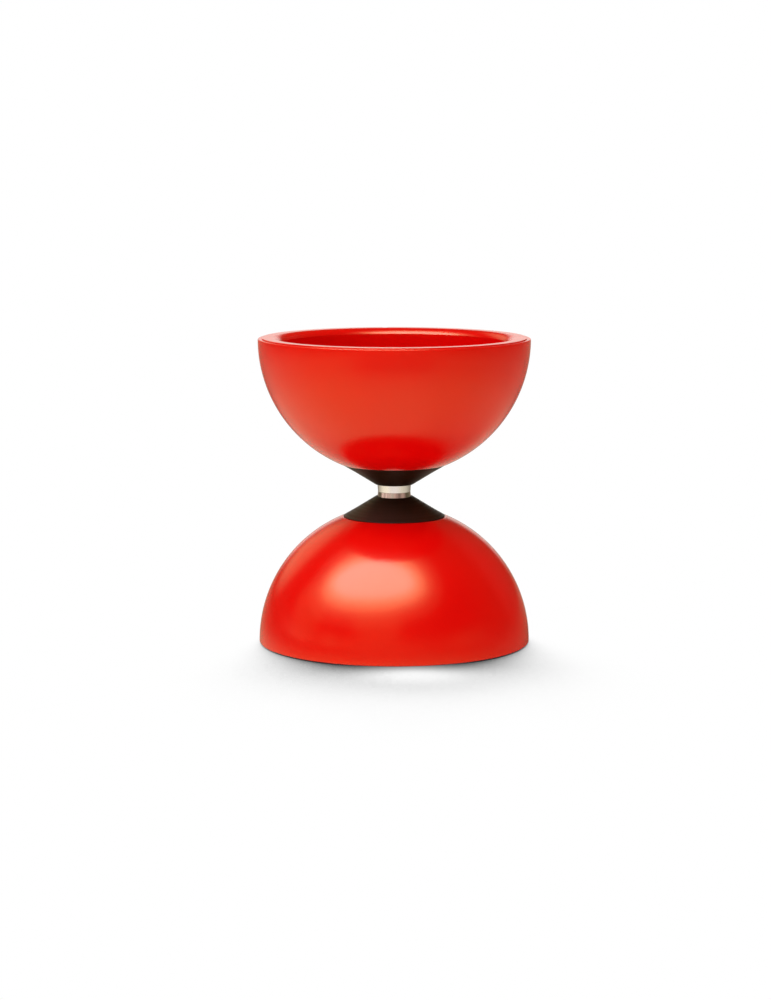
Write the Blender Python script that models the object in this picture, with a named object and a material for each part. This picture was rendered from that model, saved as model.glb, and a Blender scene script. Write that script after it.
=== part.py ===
"""A diabolo, the spinning yo-yo: two hollow cups clamped to an axle, with a free-running roller at the waist.

Run with: blender --background --python part.py
Metres, +Z up. The toy stands on its lower rim, and the origin is the centre of that rim.

Every turned profile is a list of (radius, height) points. Height is measured along the axle from the waist,
the middle plane of the toy, towards the rim of a cup. The same half is placed twice, once turned over.
"""

import math

import bmesh
import bpy
from mathutils import Vector

MM = 0.001

# Driving dimensions
CUP_RADIUS = 57.5 * MM
LENGTH = 130.0 * MM
CUP_WALL = 3.0 * MM
AXLE_RADIUS = 3.0 * MM
ROLLER_RADIUS = 7.1 * MM
GROOVE_WIDTH = 5.2 * MM
SEAT_GAP = 0.1 * MM
RUNNING_GAP = 0.25 * MM

# Cup: a hollow half ball with a flat land at its pole and a thick bead inside its rim
WAIST_Z = LENGTH / 2
BALL_CENTRE = WAIST_Z - 0.75 * MM
CUP_INNER_RADIUS = CUP_RADIUS - CUP_WALL
CUP_LAND = 11.2 * MM
CUP_LAND_THICKNESS = 3.8 * MM
CUP_SEAT = CUP_LAND + CUP_LAND_THICKNESS
CUP_HOLE_RADIUS = 9.1 * MM
RIM_STEP = 0.45 * MM
RIM_STEP_RADIUS = 55.9 * MM
RIM_SHOULDER = 0.4 * MM
RIM_EDGE = 0.15 * MM
BEAD_RADIUS = 48.2 * MM
BEAD_DEPTH = 7.5 * MM
BEAD_ROUND = 6.0 * MM
BEAD_SLOPE = 35.0
BEAD_FOOT = 15.5 * MM
LIP_DEPTH = 3.0 * MM
LIP_SLOPE = 24.0
LIP_ROUND = 0.3 * MM

# Hub cone: guides the string to the roller, hides the roller's ends and centres the cup on its spigot
CONE_TIP = GROOVE_WIDTH / 2
CONE_TIP_RADIUS = 7.95 * MM
CONE_BASE = CUP_LAND - SEAT_GAP
CONE_BASE_RADIUS = 21.5 * MM
CONE_EDGE = 0.55 * MM
CONE_FLARE = 8.1 * MM
CONE_FLARE_RADIUS = 16.8 * MM
CONE_RECESS_RADIUS = ROLLER_RADIUS + RUNNING_GAP
CONE_WEB = 9.0 * MM
SPIGOT_RADIUS = CUP_HOLE_RADIUS - SEAT_GAP
SPIGOT_END = CUP_SEAT - 0.3 * MM
AXLE_BORE = AXLE_RADIUS + SEAT_GAP

# Clamp plate, washer and lock nut: the stack that holds each cup, inside it
PLATE_BACK = CUP_SEAT + SEAT_GAP
PLATE_RADIUS = 20.0 * MM
PLATE_THICKNESS = 2.4 * MM
PLATE_ROUND = 1.0 * MM
PLATE_DISH_RADIUS = 11.5 * MM
PLATE_BOSS_RADIUS = 10.5 * MM
PLATE_TOP = PLATE_BACK + 3.5 * MM
WASHER_BACK = PLATE_TOP + SEAT_GAP
WASHER_TOP = WASHER_BACK + 1.6 * MM
WASHER_RADIUS = 9.0 * MM
NUT_BACK = WASHER_TOP + SEAT_GAP
NUT_ACROSS_FLATS = 10.0 * MM
NUT_HEX_HEIGHT = 4.3 * MM
NUT_TOP = NUT_BACK + 6.0 * MM
NUT_COLLAR_RADIUS = 4.6 * MM
NUT_CHAMFER = 0.55 * MM
INSERT_RADIUS = 4.0 * MM
INSERT_DEPTH = 1.5 * MM
AXLE_END = NUT_TOP + 1.6 * MM
AXLE_CHAMFER = 0.6 * MM

# Roller: the string runs in its shallow groove, and its ends hold the ball bearings
ROLLER_END = 8.0 * MM
ROLLER_WAIST_RADIUS = 6.95 * MM
ROLLER_CHAMFER = 0.3 * MM
BEARING_BACK = 4.0 * MM

# Ball bearings, one in each end of the roller
RACE_BACK = BEARING_BACK + 0.05 * MM
RACE_FRONT = ROLLER_END - 0.05 * MM
RACE_GROOVE_HEIGHT = (RACE_BACK + RACE_FRONT) / 2
OUTER_RACE_RADIUS = 5.95 * MM
OUTER_RACE_BORE = 5.05 * MM
INNER_RACE_RADIUS = 3.95 * MM
INNER_RACE_BORE = AXLE_RADIUS + SEAT_GAP
BALL_RADIUS = 0.72 * MM
BALL_PITCH_RADIUS = 4.5 * MM
BALL_GAP = 0.1 * MM
BALL_COUNT = 7
SHIELD_BACK = RACE_FRONT - 0.4 * MM
SHIELD_THICKNESS = 0.2 * MM
SHIELD_RECESS = 0.5 * MM
SHIELD_RADIUS = 5.15 * MM
SHIELD_HOLE = 4.1 * MM
CAGE_INNER_RADIUS = 4.15 * MM
CAGE_OUTER_RADIUS = 4.85 * MM
CAGE_POCKET = BALL_RADIUS + 0.08 * MM
CAGE_PRONG = RACE_GROOVE_HEIGHT - 0.4 * MM
CAGE_BACK = RACE_GROOVE_HEIGHT + 1.3 * MM
SHIM_RADIUS = 3.9 * MM
SHIM_BACK = ROLLER_END + SEAT_GAP
SHIM_FRONT = CONE_WEB - SEAT_GAP

# One-way clutch in the middle of the roller: the roller runs free one way and drives the cups the other way
CLUTCH_TRACK_RADIUS = 3.4 * MM
CLUTCH_SHELL_RADIUS = 4.93 * MM
CLUTCH_SHELL_WALL = 0.32 * MM
CLUTCH_SHELL_END = 3.9 * MM
CLUTCH_LIP_RADIUS = 3.65 * MM
NEEDLE_RADIUS = 0.53 * MM
NEEDLE_PITCH_RADIUS = 3.98 * MM
NEEDLE_LENGTH = 5.0 * MM
NEEDLE_COUNT = 6
CLUTCH_CAGE_INNER = 3.6 * MM
CLUTCH_CAGE_OUTER = 4.45 * MM
CLUTCH_CAGE_END = 3.3 * MM
CLUTCH_WINDOW_WIDTH = 1.3 * MM
CLUTCH_WINDOW_LENGTH = 5.3 * MM

# Facets round each turned piece
CUP_FACETS = 40
CONE_FACETS = 32
ROLLER_FACETS = 28
NUT_FACETS = 24
SMALL_FACETS = 20
SHARP_EDGE = math.radians(32)


# Materials
def plain_material(name, colour, roughness, metallic=0.0):
    """A Principled material of one colour."""
    material = bpy.data.materials.new(name)
    material.use_nodes = True
    shader = material.node_tree.nodes["Principled BSDF"]
    shader.inputs["Base Color"].default_value = (*colour, 1.0)
    shader.inputs["Roughness"].default_value = roughness
    shader.inputs["Metallic"].default_value = metallic
    material.diffuse_color = (*colour, 1.0)
    return material


def make_materials():
    """Every finish of the toy, by name."""
    return {
        "red_rubber": plain_material("red_rubber", (0.74, 0.016, 0.008), 0.42),
        "black_nylon": plain_material("black_nylon", (0.020, 0.012, 0.008), 0.55),
        "polished_steel": plain_material("polished_steel", (0.72, 0.70, 0.67), 0.18, 1.0),
        "zinc_steel": plain_material("zinc_steel", (0.62, 0.62, 0.60), 0.34, 1.0),
        "bearing_steel": plain_material("bearing_steel", (0.58, 0.58, 0.58), 0.22, 1.0),
        "white_nylon": plain_material("white_nylon", (0.78, 0.77, 0.72), 0.45),
    }


# Outlines and meshes
def arc(centre, radius, start, end, steps):
    """Points of a round stretch of a profile, from one angle to another in degrees, both ends included."""
    angles = [math.radians(start + (end - start) * i / steps) for i in range(steps + 1)]
    return [(centre[0] + radius * math.cos(a), centre[1] + radius * math.sin(a)) for a in angles]


def finish_mesh(shape, name):
    """Welds a bmesh, points its faces outwards, shades it smooth with sharp edges and returns it as a mesh."""
    bmesh.ops.remove_doubles(shape, verts=shape.verts, dist=1e-7)
    bmesh.ops.recalc_face_normals(shape, faces=shape.faces)
    mesh = bpy.data.meshes.new(name)
    shape.to_mesh(mesh)
    shape.free()
    mesh.shade_smooth()
    mesh.set_sharp_from_angle(angle=SHARP_EDGE)
    return mesh


def turned(name, profile, facets):
    """A closed profile of (radius, height) points, spun a full turn about the axle."""
    shape = bmesh.new()
    points = [shape.verts.new((radius, 0.0, height)) for radius, height in profile]
    edges = [shape.edges.new((points[i - 1], points[i])) for i in range(len(points))]
    bmesh.ops.spin(
        shape,
        geom=points + edges,
        cent=Vector(),
        axis=Vector((0, 0, 1)),
        angle=math.tau,
        steps=facets,
        use_merge=True,
    )
    return finish_mesh(shape, name)


def ring(name, inner, outer, back, front, facets):
    """A plain ring with a square section."""
    return turned(name, [(inner, back), (outer, back), (outer, front), (inner, front)], facets)


def ball_arc(sphere, start_height, end_height, steps):
    """Stretch of a ball about the cup's centre between two heights."""
    start, end = (math.degrees(math.asin((h - BALL_CENTRE) / sphere)) for h in (start_height, end_height))
    return arc((0.0, BALL_CENTRE), sphere, start, end, steps)


# Pieces
def cup_mesh():
    """Half ball with a flat land for the cone, a stepped rim to stand on and a bead inside it with a sloping lip."""
    step_height = WAIST_Z - RIM_STEP
    shoulder = (CUP_RADIUS - RIM_SHOULDER, step_height - RIM_SHOULDER)
    lip_low = (BEAD_RADIUS + LIP_ROUND, WAIST_Z - LIP_DEPTH)
    lip_rise = LIP_DEPTH - LIP_ROUND
    lip_high = (lip_low[0] + lip_rise * math.tan(math.radians(LIP_SLOPE)), lip_low[1] + lip_rise)
    bead = (BEAD_RADIUS + BEAD_ROUND, WAIST_Z - BEAD_DEPTH)
    profile = [(CUP_HOLE_RADIUS, CUP_LAND)]
    profile += ball_arc(CUP_RADIUS, CUP_LAND, shoulder[1], 9)[:-1]
    profile += arc(shoulder, RIM_SHOULDER, 0, 90, 3)
    profile += [(RIM_STEP_RADIUS, step_height)]
    profile += [(RIM_STEP_RADIUS, WAIST_Z - RIM_EDGE), (RIM_STEP_RADIUS - RIM_EDGE, WAIST_Z)]
    profile += arc(lip_high, LIP_ROUND, 90, 180 - LIP_SLOPE, 2)
    profile += arc(lip_low, LIP_ROUND, 180 - LIP_SLOPE, 180, 1)
    profile += arc(bead, BEAD_ROUND, 180, 180 + BEAD_SLOPE, 2)
    profile += ball_arc(CUP_INNER_RADIUS, WAIST_Z - BEAD_FOOT, CUP_SEAT, 7)
    profile += [(CUP_HOLE_RADIUS, CUP_SEAT)]
    return turned("cup", profile, CUP_FACETS)


def cone_mesh():
    """Cone with a recess for the roller's end, a web that bears on the shim and a spigot through the cup."""
    profile = [
        (CONE_RECESS_RADIUS, CONE_TIP),
        (CONE_TIP_RADIUS, CONE_TIP),
        (CONE_FLARE_RADIUS, CONE_FLARE),
        (CONE_BASE_RADIUS, CONE_BASE - CONE_EDGE),
        (CONE_BASE_RADIUS, CONE_BASE),
        (SPIGOT_RADIUS, CONE_BASE),
        (SPIGOT_RADIUS, SPIGOT_END),
        (AXLE_BORE, SPIGOT_END),
        (AXLE_BORE, CONE_WEB),
        (CONE_RECESS_RADIUS, CONE_WEB),
    ]
    return turned("hub_cone", profile, CONE_FACETS)


def plate_mesh():
    """Round plate that spreads the nut's load over the cup, with a rounded edge, a dished face and a boss."""
    edge_centre = (PLATE_RADIUS - PLATE_ROUND, PLATE_BACK + PLATE_THICKNESS - PLATE_ROUND)
    profile = [(AXLE_BORE, PLATE_BACK), (PLATE_RADIUS, PLATE_BACK)]
    profile += arc(edge_centre, PLATE_ROUND, 0, 90, 2)
    profile += [(PLATE_DISH_RADIUS, PLATE_BACK + PLATE_THICKNESS + SEAT_GAP)]
    profile += [(PLATE_BOSS_RADIUS, PLATE_TOP), (AXLE_BORE, PLATE_TOP)]
    return turned("clamp_plate", profile, CONE_FACETS)


def nut_blank_mesh():
    """The lock nut before its flats are cut: chamfered corners, a round collar and a recess for the insert."""
    corner = NUT_ACROSS_FLATS / math.sqrt(3)
    hex_top = NUT_BACK + NUT_HEX_HEIGHT
    insert_seat = NUT_TOP - INSERT_DEPTH
    profile = [
        (AXLE_BORE, NUT_BACK),
        (corner - NUT_CHAMFER, NUT_BACK),
        (corner, NUT_BACK + NUT_CHAMFER),
        (corner, hex_top - NUT_CHAMFER),
        (NUT_COLLAR_RADIUS, hex_top),
        (NUT_COLLAR_RADIUS, NUT_TOP),
        (INSERT_RADIUS + SEAT_GAP, NUT_TOP),
        (INSERT_RADIUS + SEAT_GAP, insert_seat),
        (AXLE_BORE, insert_seat),
    ]
    return turned("lock_nut", profile, NUT_FACETS)


def hex_bar_mesh():
    """A hexagonal bar as long as the nut and more, whose flats shape the nut."""
    shape = bmesh.new()
    corner = NUT_ACROSS_FLATS / math.sqrt(3)
    bmesh.ops.create_cone(shape, cap_ends=True, segments=6, radius1=corner, radius2=corner, depth=20 * MM)
    bmesh.ops.translate(shape, verts=shape.verts, vec=(0, 0, (NUT_BACK + NUT_TOP) / 2))
    return finish_mesh(shape, "hex_bar")


def axle_mesh():
    """Stepped shaft: a track for the clutch in the middle, bearing seats and ends that the nuts screw on."""
    half = [
        (CLUTCH_TRACK_RADIUS, BEARING_BACK),
        (AXLE_RADIUS, BEARING_BACK),
        (AXLE_RADIUS, AXLE_END - AXLE_CHAMFER),
        (AXLE_RADIUS - AXLE_CHAMFER, AXLE_END),
        (0.0, AXLE_END),
    ]
    profile = half + [(radius, -height) for radius, height in reversed(half)]
    return turned("axle", profile, SMALL_FACETS)


def roller_mesh():
    """Sleeve with a hollow string groove, a bore for the clutch and a bearing seat at each end."""
    rise = ROLLER_RADIUS - ROLLER_WAIST_RADIUS
    sweep = (CONE_TIP**2 + rise**2) / (2 * rise)
    tilt = math.degrees(math.asin(CONE_TIP / sweep))
    groove = arc((ROLLER_WAIST_RADIUS + sweep, 0.0), sweep, 180 + tilt, 180 - tilt, 6)
    bearing_seat = OUTER_RACE_RADIUS + SEAT_GAP
    clutch_seat = CLUTCH_SHELL_RADIUS + 0.07 * MM
    end = [
        (ROLLER_RADIUS, ROLLER_END - ROLLER_CHAMFER),
        (ROLLER_RADIUS - ROLLER_CHAMFER, ROLLER_END),
        (bearing_seat, ROLLER_END),
        (bearing_seat, BEARING_BACK),
        (clutch_seat, BEARING_BACK),
    ]
    other_end = [(radius, -height) for radius, height in reversed(end)]
    return turned("roller", groove + end + other_end, ROLLER_FACETS)


def race_groove(bottom, towards_axle, steps=4):
    """Round ball track of a race, cut to its deepest point at the given radius."""
    sweep = BALL_RADIUS + BALL_GAP
    if towards_axle:
        return arc((bottom + sweep, RACE_GROOVE_HEIGHT), sweep, 133, 227, steps)
    return arc((bottom - sweep, RACE_GROOVE_HEIGHT), sweep, -47, 47, steps)


def inner_race_mesh():
    """Race that the axle carries, with its ball track on the outside."""
    track = race_groove(BALL_PITCH_RADIUS - BALL_RADIUS - BALL_GAP, towards_axle=True)
    bore = [(INNER_RACE_BORE, RACE_BACK), (INNER_RACE_BORE, RACE_FRONT)]
    outside = [(INNER_RACE_RADIUS, RACE_FRONT), *track, (INNER_RACE_RADIUS, RACE_BACK)]
    return turned("inner_race", bore + outside, SMALL_FACETS)


def outer_race_mesh():
    """Race that the roller carries, with its ball track inside and a recess for the shield at its front."""
    track = race_groove(BALL_PITCH_RADIUS + BALL_RADIUS + BALL_GAP, towards_axle=False)
    recess_radius = SHIELD_RADIUS + SEAT_GAP
    recess_height = RACE_FRONT - SHIELD_RECESS
    profile = [(OUTER_RACE_RADIUS, RACE_BACK), (OUTER_RACE_BORE, RACE_BACK), *track]
    profile += [(OUTER_RACE_BORE, recess_height), (recess_radius, recess_height)]
    profile += [(recess_radius, RACE_FRONT), (OUTER_RACE_RADIUS, RACE_FRONT)]
    return turned("outer_race", profile, SMALL_FACETS)


def ball_mesh():
    """One bearing ball."""
    shape = bmesh.new()
    bmesh.ops.create_icosphere(shape, subdivisions=2, radius=BALL_RADIUS)
    return finish_mesh(shape, "ball")


def cage_mesh(steps_per_ball=6):
    """Crown cage: a ring with a prong between each pair of balls and a round pocket over each ball."""
    shape = bmesh.new()
    sections = []
    for i in range(BALL_COUNT * steps_per_ball):
        turn = (i % steps_per_ball + 0.5) / steps_per_ball - 0.5
        along = abs(turn) * math.tau / BALL_COUNT * BALL_PITCH_RADIUS
        pocket = RACE_GROOVE_HEIGHT + math.sqrt(max(0.0, CAGE_POCKET**2 - along**2))
        edge = pocket if along < CAGE_POCKET else CAGE_PRONG
        angle = math.tau * (i + 0.5 - steps_per_ball / 2) / (BALL_COUNT * steps_per_ball)
        corners = [
            (CAGE_INNER_RADIUS, edge),
            (CAGE_OUTER_RADIUS, edge),
            (CAGE_OUTER_RADIUS, CAGE_BACK),
            (CAGE_INNER_RADIUS, CAGE_BACK),
        ]
        sections.append([shape.verts.new((r * math.cos(angle), r * math.sin(angle), h)) for r, h in corners])
    for i, section in enumerate(sections):
        before = sections[i - 1]
        for k in range(4):
            shape.faces.new((before[k - 1], before[k], section[k], section[k - 1]))
    return finish_mesh(shape, "ball_cage")


def clutch_shell_mesh():
    """Drawn steel cup of the clutch, with both ends turned in."""
    inner = CLUTCH_SHELL_RADIUS - CLUTCH_SHELL_WALL
    end_inside = CLUTCH_SHELL_END - CLUTCH_SHELL_WALL
    half = [
        (CLUTCH_SHELL_RADIUS, CLUTCH_SHELL_END),
        (CLUTCH_LIP_RADIUS, CLUTCH_SHELL_END),
        (CLUTCH_LIP_RADIUS, end_inside),
        (inner, end_inside),
    ]
    return turned("clutch_shell", half + [(r, -h) for r, h in reversed(half)], SMALL_FACETS)


def clutch_cage_mesh():
    """Sleeve that spaces the clutch needles, before its windows are cut."""
    return ring(
        "clutch_cage", CLUTCH_CAGE_INNER, CLUTCH_CAGE_OUTER, -CLUTCH_CAGE_END, CLUTCH_CAGE_END, SMALL_FACETS
    )


def window_mesh():
    """Block that cuts one window in the clutch cage."""
    shape = bmesh.new()
    block = bmesh.ops.create_cube(shape, size=1.0)
    bmesh.ops.scale(shape, verts=block["verts"], vec=(2 * MM, CLUTCH_WINDOW_WIDTH, CLUTCH_WINDOW_LENGTH))
    return finish_mesh(shape, "clutch_window")


def needle_mesh():
    """One clutch needle."""
    shape = bmesh.new()
    bmesh.ops.create_cone(
        shape, cap_ends=True, segments=10, radius1=NEEDLE_RADIUS, radius2=NEEDLE_RADIUS, depth=NEEDLE_LENGTH
    )
    return finish_mesh(shape, "clutch_needle")


# Placing
def empty(name, parent=None, location=(0, 0, 0), rotation=(0, 0, 0)):
    """An empty that carries pieces."""
    carrier = bpy.data.objects.new(name, None)
    bpy.context.scene.collection.objects.link(carrier)
    carrier.parent = parent
    carrier.location = location
    carrier.rotation_euler = rotation
    return carrier


def place(name, mesh, material, parent, location=(0, 0, 0), turn=0.0):
    """One piece, carried by an empty on the axle."""
    piece = bpy.data.objects.new(name, mesh)
    bpy.context.scene.collection.objects.link(piece)
    piece.parent = parent
    piece.location = location
    piece.rotation_euler = (0, 0, turn)
    if material and not mesh.materials:
        mesh.materials.append(material)
    return piece


def as_cutter(piece):
    """Marks a helper that only shapes another piece."""
    piece.hide_render = True
    piece.display_type = "WIRE"
    return piece


def add_boolean(piece, cutter, operation):
    """Shapes a piece by another with the exact solver."""
    modifier = piece.modifiers.new(cutter.name, "BOOLEAN")
    modifier.operation = operation
    modifier.object = cutter
    modifier.solver = "EXACT"


def round_axle(count, pitch_radius):
    """(number, location, turn) of pieces spaced evenly round the axle."""
    for i in range(count):
        turn = math.tau * i / count
        yield i + 1, Vector((math.cos(turn), math.sin(turn), 0)) * pitch_radius, turn


def half_meshes():
    """The meshes that both halves of the toy share."""
    insert_back = NUT_TOP - INSERT_DEPTH + SEAT_GAP
    shield_front = SHIELD_BACK + SHIELD_THICKNESS
    return {
        "cup": cup_mesh(),
        "hub_cone": cone_mesh(),
        "clamp_plate": plate_mesh(),
        "washer": ring("washer", AXLE_BORE, WASHER_RADIUS, WASHER_BACK, WASHER_TOP, SMALL_FACETS),
        "lock_nut": nut_blank_mesh(),
        "nut_insert": ring("nut_insert", AXLE_BORE, INSERT_RADIUS, insert_back, NUT_TOP, SMALL_FACETS),
        "shim": ring("shim", AXLE_BORE, SHIM_RADIUS, SHIM_BACK, SHIM_FRONT, SMALL_FACETS),
        "inner_race": inner_race_mesh(),
        "outer_race": outer_race_mesh(),
        "bearing_shield": ring(
            "bearing_shield", SHIELD_HOLE, SHIELD_RADIUS, SHIELD_BACK, shield_front, SMALL_FACETS
        ),
        "ball_cage": cage_mesh(),
    }


HALF_FINISHES = {
    "cup": "red_rubber",
    "hub_cone": "black_nylon",
    "clamp_plate": "black_nylon",
    "washer": "zinc_steel",
    "lock_nut": "zinc_steel",
    "nut_insert": "white_nylon",
    "shim": "zinc_steel",
    "inner_race": "bearing_steel",
    "outer_race": "bearing_steel",
    "bearing_shield": "zinc_steel",
    "ball_cage": "white_nylon",
}


def build_half(side, carrier, meshes, ball, hex_bar, materials):
    """One cup with its hub cone, its clamp and the ball bearing behind it."""
    for piece, finish in HALF_FINISHES.items():
        place(f"{side}_{piece}", meshes[piece], materials[finish], carrier)
    bar = as_cutter(place(f"{side}_hex_bar", hex_bar, None, carrier))
    add_boolean(bpy.data.objects[f"{side}_lock_nut"], bar, "INTERSECT")
    for number, spot, _ in round_axle(BALL_COUNT, BALL_PITCH_RADIUS):
        height = Vector((0, 0, RACE_GROOVE_HEIGHT))
        place(f"{side}_ball_{number}", ball, materials["bearing_steel"], carrier, spot + height)


def build_middle(carrier, materials):
    """The axle, the roller and the one-way clutch inside it."""
    place("axle", axle_mesh(), materials["zinc_steel"], carrier)
    place("roller", roller_mesh(), materials["polished_steel"], carrier)
    place("clutch_shell", clutch_shell_mesh(), materials["bearing_steel"], carrier)
    cage = place("clutch_cage", clutch_cage_mesh(), materials["white_nylon"], carrier)
    needle, window = needle_mesh(), window_mesh()
    for number, spot, turn in round_axle(NEEDLE_COUNT, NEEDLE_PITCH_RADIUS):
        place(f"clutch_needle_{number}", needle, materials["bearing_steel"], carrier, spot)
        cutter = as_cutter(place(f"clutch_window_{number}", window, None, carrier, spot, turn))
        add_boolean(cage, cutter, "DIFFERENCE")


def build():
    """Clears the scene and builds the whole toy, standing on its lower rim."""
    for old in list(bpy.data.objects):
        bpy.data.objects.remove(old)
    materials = make_materials()
    meshes, ball, hex_bar = half_meshes(), ball_mesh(), hex_bar_mesh()
    waist = empty("waist", location=(0, 0, WAIST_Z))
    build_middle(waist, materials)
    build_half("upper", empty("upper_half", waist), meshes, ball, hex_bar, materials)
    turned_over = empty("lower_half", waist, rotation=(math.pi, 0, 0))
    build_half("lower", turned_over, meshes, ball, hex_bar, materials)


build()
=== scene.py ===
"""Looks of a diabolo, the spinning yo-yo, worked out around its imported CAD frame.

The frame is in metres with +Z up, and the toy stands on its lower rim. The sizes here are in millimetres. A turned
piece is an outline of (radius, height) points, where the height runs along the axle from the waist, the toy's middle
plane, towards the rim of a cup. Outlines run counter-clockwise, so that the faces of what is spun from them point
outwards. Both halves share their pieces: the lower half is the upper one turned over about the X axis.
"""

import logging
import math
from dataclasses import dataclass
from enum import Enum

import bpy
import numpy as np
from mathutils import Matrix, Vector

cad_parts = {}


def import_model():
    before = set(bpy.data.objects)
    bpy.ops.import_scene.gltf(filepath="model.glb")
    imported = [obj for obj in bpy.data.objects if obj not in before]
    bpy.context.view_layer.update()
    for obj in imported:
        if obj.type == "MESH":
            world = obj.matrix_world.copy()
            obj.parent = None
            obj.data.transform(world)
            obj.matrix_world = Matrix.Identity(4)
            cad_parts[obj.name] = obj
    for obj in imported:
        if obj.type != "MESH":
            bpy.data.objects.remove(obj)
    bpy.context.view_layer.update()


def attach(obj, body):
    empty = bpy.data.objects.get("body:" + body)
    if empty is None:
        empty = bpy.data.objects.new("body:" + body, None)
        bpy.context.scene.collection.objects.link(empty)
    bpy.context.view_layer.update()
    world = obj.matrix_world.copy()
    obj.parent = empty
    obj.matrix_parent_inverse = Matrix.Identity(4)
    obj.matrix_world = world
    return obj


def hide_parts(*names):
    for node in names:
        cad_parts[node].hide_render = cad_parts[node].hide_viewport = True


LOG = logging.getLogger("diabolo")
MM = 0.001
WAIST = 65.0
SHARP_EDGE = math.radians(38)
MOULDED_EDGE = 0.2
RING_COLUMNS = 96
PIN_COLUMNS = 32
HOLD_SHARE = 0.3
SAME_POINT = 1e-4
TINY = 1e-6
WHITE = (1.0, 1.0, 1.0, 1.0)

Pair = tuple[float, float]
Triple = tuple[float, float, float]
Colour = Triple
Socket = bpy.types.NodeSocket


class Body(str, Enum):
    """The frame's bodies, by the names in its record."""

    CUPS = "cups_and_axle"
    ROLLER = "roller_and_clutch"
    UPPER_BALLS = "upper_ball_set"
    LOWER_BALLS = "lower_ball_set"


class Half(str, Enum):
    """The two halves of the toy."""

    UPPER = "upper"
    LOWER = "lower"

    @property
    def balls(self) -> Body:
        """Body of the balls in this half's bearing."""
        return Body.UPPER_BALLS if self is Half.UPPER else Body.LOWER_BALLS

    def place(self, points: np.ndarray) -> np.ndarray:
        """Moves points from the half's own frame to the toy's.

        Args:
            points: (n, 3) array in millimetres, with heights from the waist towards the rim.

        Returns:
            (n, 3) array in metres. The lower half is turned over about X, so y and the height change sign.
        """
        flip = (1.0, 1.0, 1.0) if self is Half.UPPER else (1.0, -1.0, -1.0)
        return (points * np.array(flip) + np.array((0.0, 0.0, WAIST))) * MM


# Outlines and surfaces


@dataclass
class Surface:
    """A closed surface before it becomes a mesh.

    Attributes:
        points: (n, 3) array in a half's own frame, in millimetres.
        faces: Arrays of point numbers, one row a face, outwards.
        edge: (n,) mask that is 1 on the sharpest convex edges and 0 on flats and hollows.
    """

    points: np.ndarray
    faces: list[np.ndarray]
    edge: np.ndarray


def smoothstep(low: float, high: float, value: np.ndarray) -> np.ndarray:
    """Eased step: t * t * (3 - 2 t), where t runs from 0 at low to 1 at high."""
    share = np.clip((value - low) / (high - low), 0.0, 1.0)
    return share * share * (3.0 - 2.0 * share)


def full_turn(steps: int) -> np.ndarray:
    """Angles of a full turn in equal steps, without the last one, which is the first again."""
    return np.linspace(0.0, math.tau, steps, endpoint=False)


def arc(centre: Pair, radius: float, start: float, end: float, steps: int) -> np.ndarray:
    """Round stretch of an outline: the centre plus the radius times the cosine and sine of a running angle.

    Args:
        centre: Radius and height of the arc's centre.
        radius: The arc's own radius.
        start: First angle in degrees, from the outward direction towards the rim.
        end: Last angle in degrees.
        steps: Number of chords.

    Returns:
        (steps + 1, 2) array of outline points.
    """
    angle = np.radians(np.linspace(start, end, steps + 1))
    return np.column_stack([centre[0] + radius * np.cos(angle), centre[1] + radius * np.sin(angle)])


def stretch(points: np.ndarray) -> np.ndarray:
    """Gives the points of a curved stretch a fillet of nothing, so that an outline passes straight through them."""
    return np.column_stack([points, np.zeros(len(points))])


def rounded(*corners: np.ndarray | Triple, steps: int = 5, hold: float = 0.12) -> np.ndarray:
    """Closed outline whose corners are rounded, each by its own fillet.

    At a corner whose sides open by the angle phi, the fillet f touches both sides f / tan(phi / 2) from the corner,
    and its centre lies f / sin(phi / 2) along the bisector. The round part turns about that centre from one touching
    point to the other. A point held close outside each touching point keeps the flats flat when they are shaded.

    Args:
        corners: Rows of (radius, height, fillet), one at a time or as arrays of them.
        steps: Chords in each fillet.
        hold: Furthest distance of a holding point from its fillet.

    Returns:
        (n, 2) array of outline points, counter-clockwise if the corners are.
    """
    table = np.vstack([np.atleast_2d(rows) for rows in corners])
    point, fillet = table[:, :2], table[:, 2:]
    sides = [np.roll(point, shift, axis=0) - point for shift in (1, -1)]
    lengths = [np.linalg.norm(side, axis=1, keepdims=True) for side in sides]
    back, ahead = (side / length for side, length in zip(sides, lengths))
    opening = np.arccos(np.clip((back * ahead).sum(axis=1, keepdims=True), -1.0, 1.0))
    reach = fillet / np.tan(opening / 2)
    bisector = back + ahead
    bisector /= np.maximum(np.linalg.norm(bisector, axis=1, keepdims=True), 1e-9)
    centre = point + bisector * fillet / np.sin(opening / 2)
    first, last = point + back * reach - centre, point + ahead * reach - centre
    sweep = np.maximum(np.pi - opening, TINY)
    share = np.linspace(0.0, 1.0, steps + 1)
    weights = [np.sin(part * sweep) / np.sin(sweep) for part in (1.0 - share, share)]
    bend = centre[:, None] + first[:, None] * weights[0][..., None] + last[:, None] * weights[1][..., None]
    spare = [lengths[0] - reach - np.roll(reach, 1, axis=0), lengths[1] - reach - np.roll(reach, -1, axis=0)]
    holds = [np.where(fillet > 0, np.clip(HOLD_SHARE * left, 0.0, hold), 0.0) for left in spare]
    lead = (point + back * (reach + holds[0]))[:, None]
    tail = (point + ahead * (reach + holds[1]))[:, None]
    path = np.concatenate([lead, bend, tail], axis=1).reshape(-1, 2)
    return path[np.linalg.norm(np.roll(path, -1, axis=0) - path, axis=1) > SAME_POINT]


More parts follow.
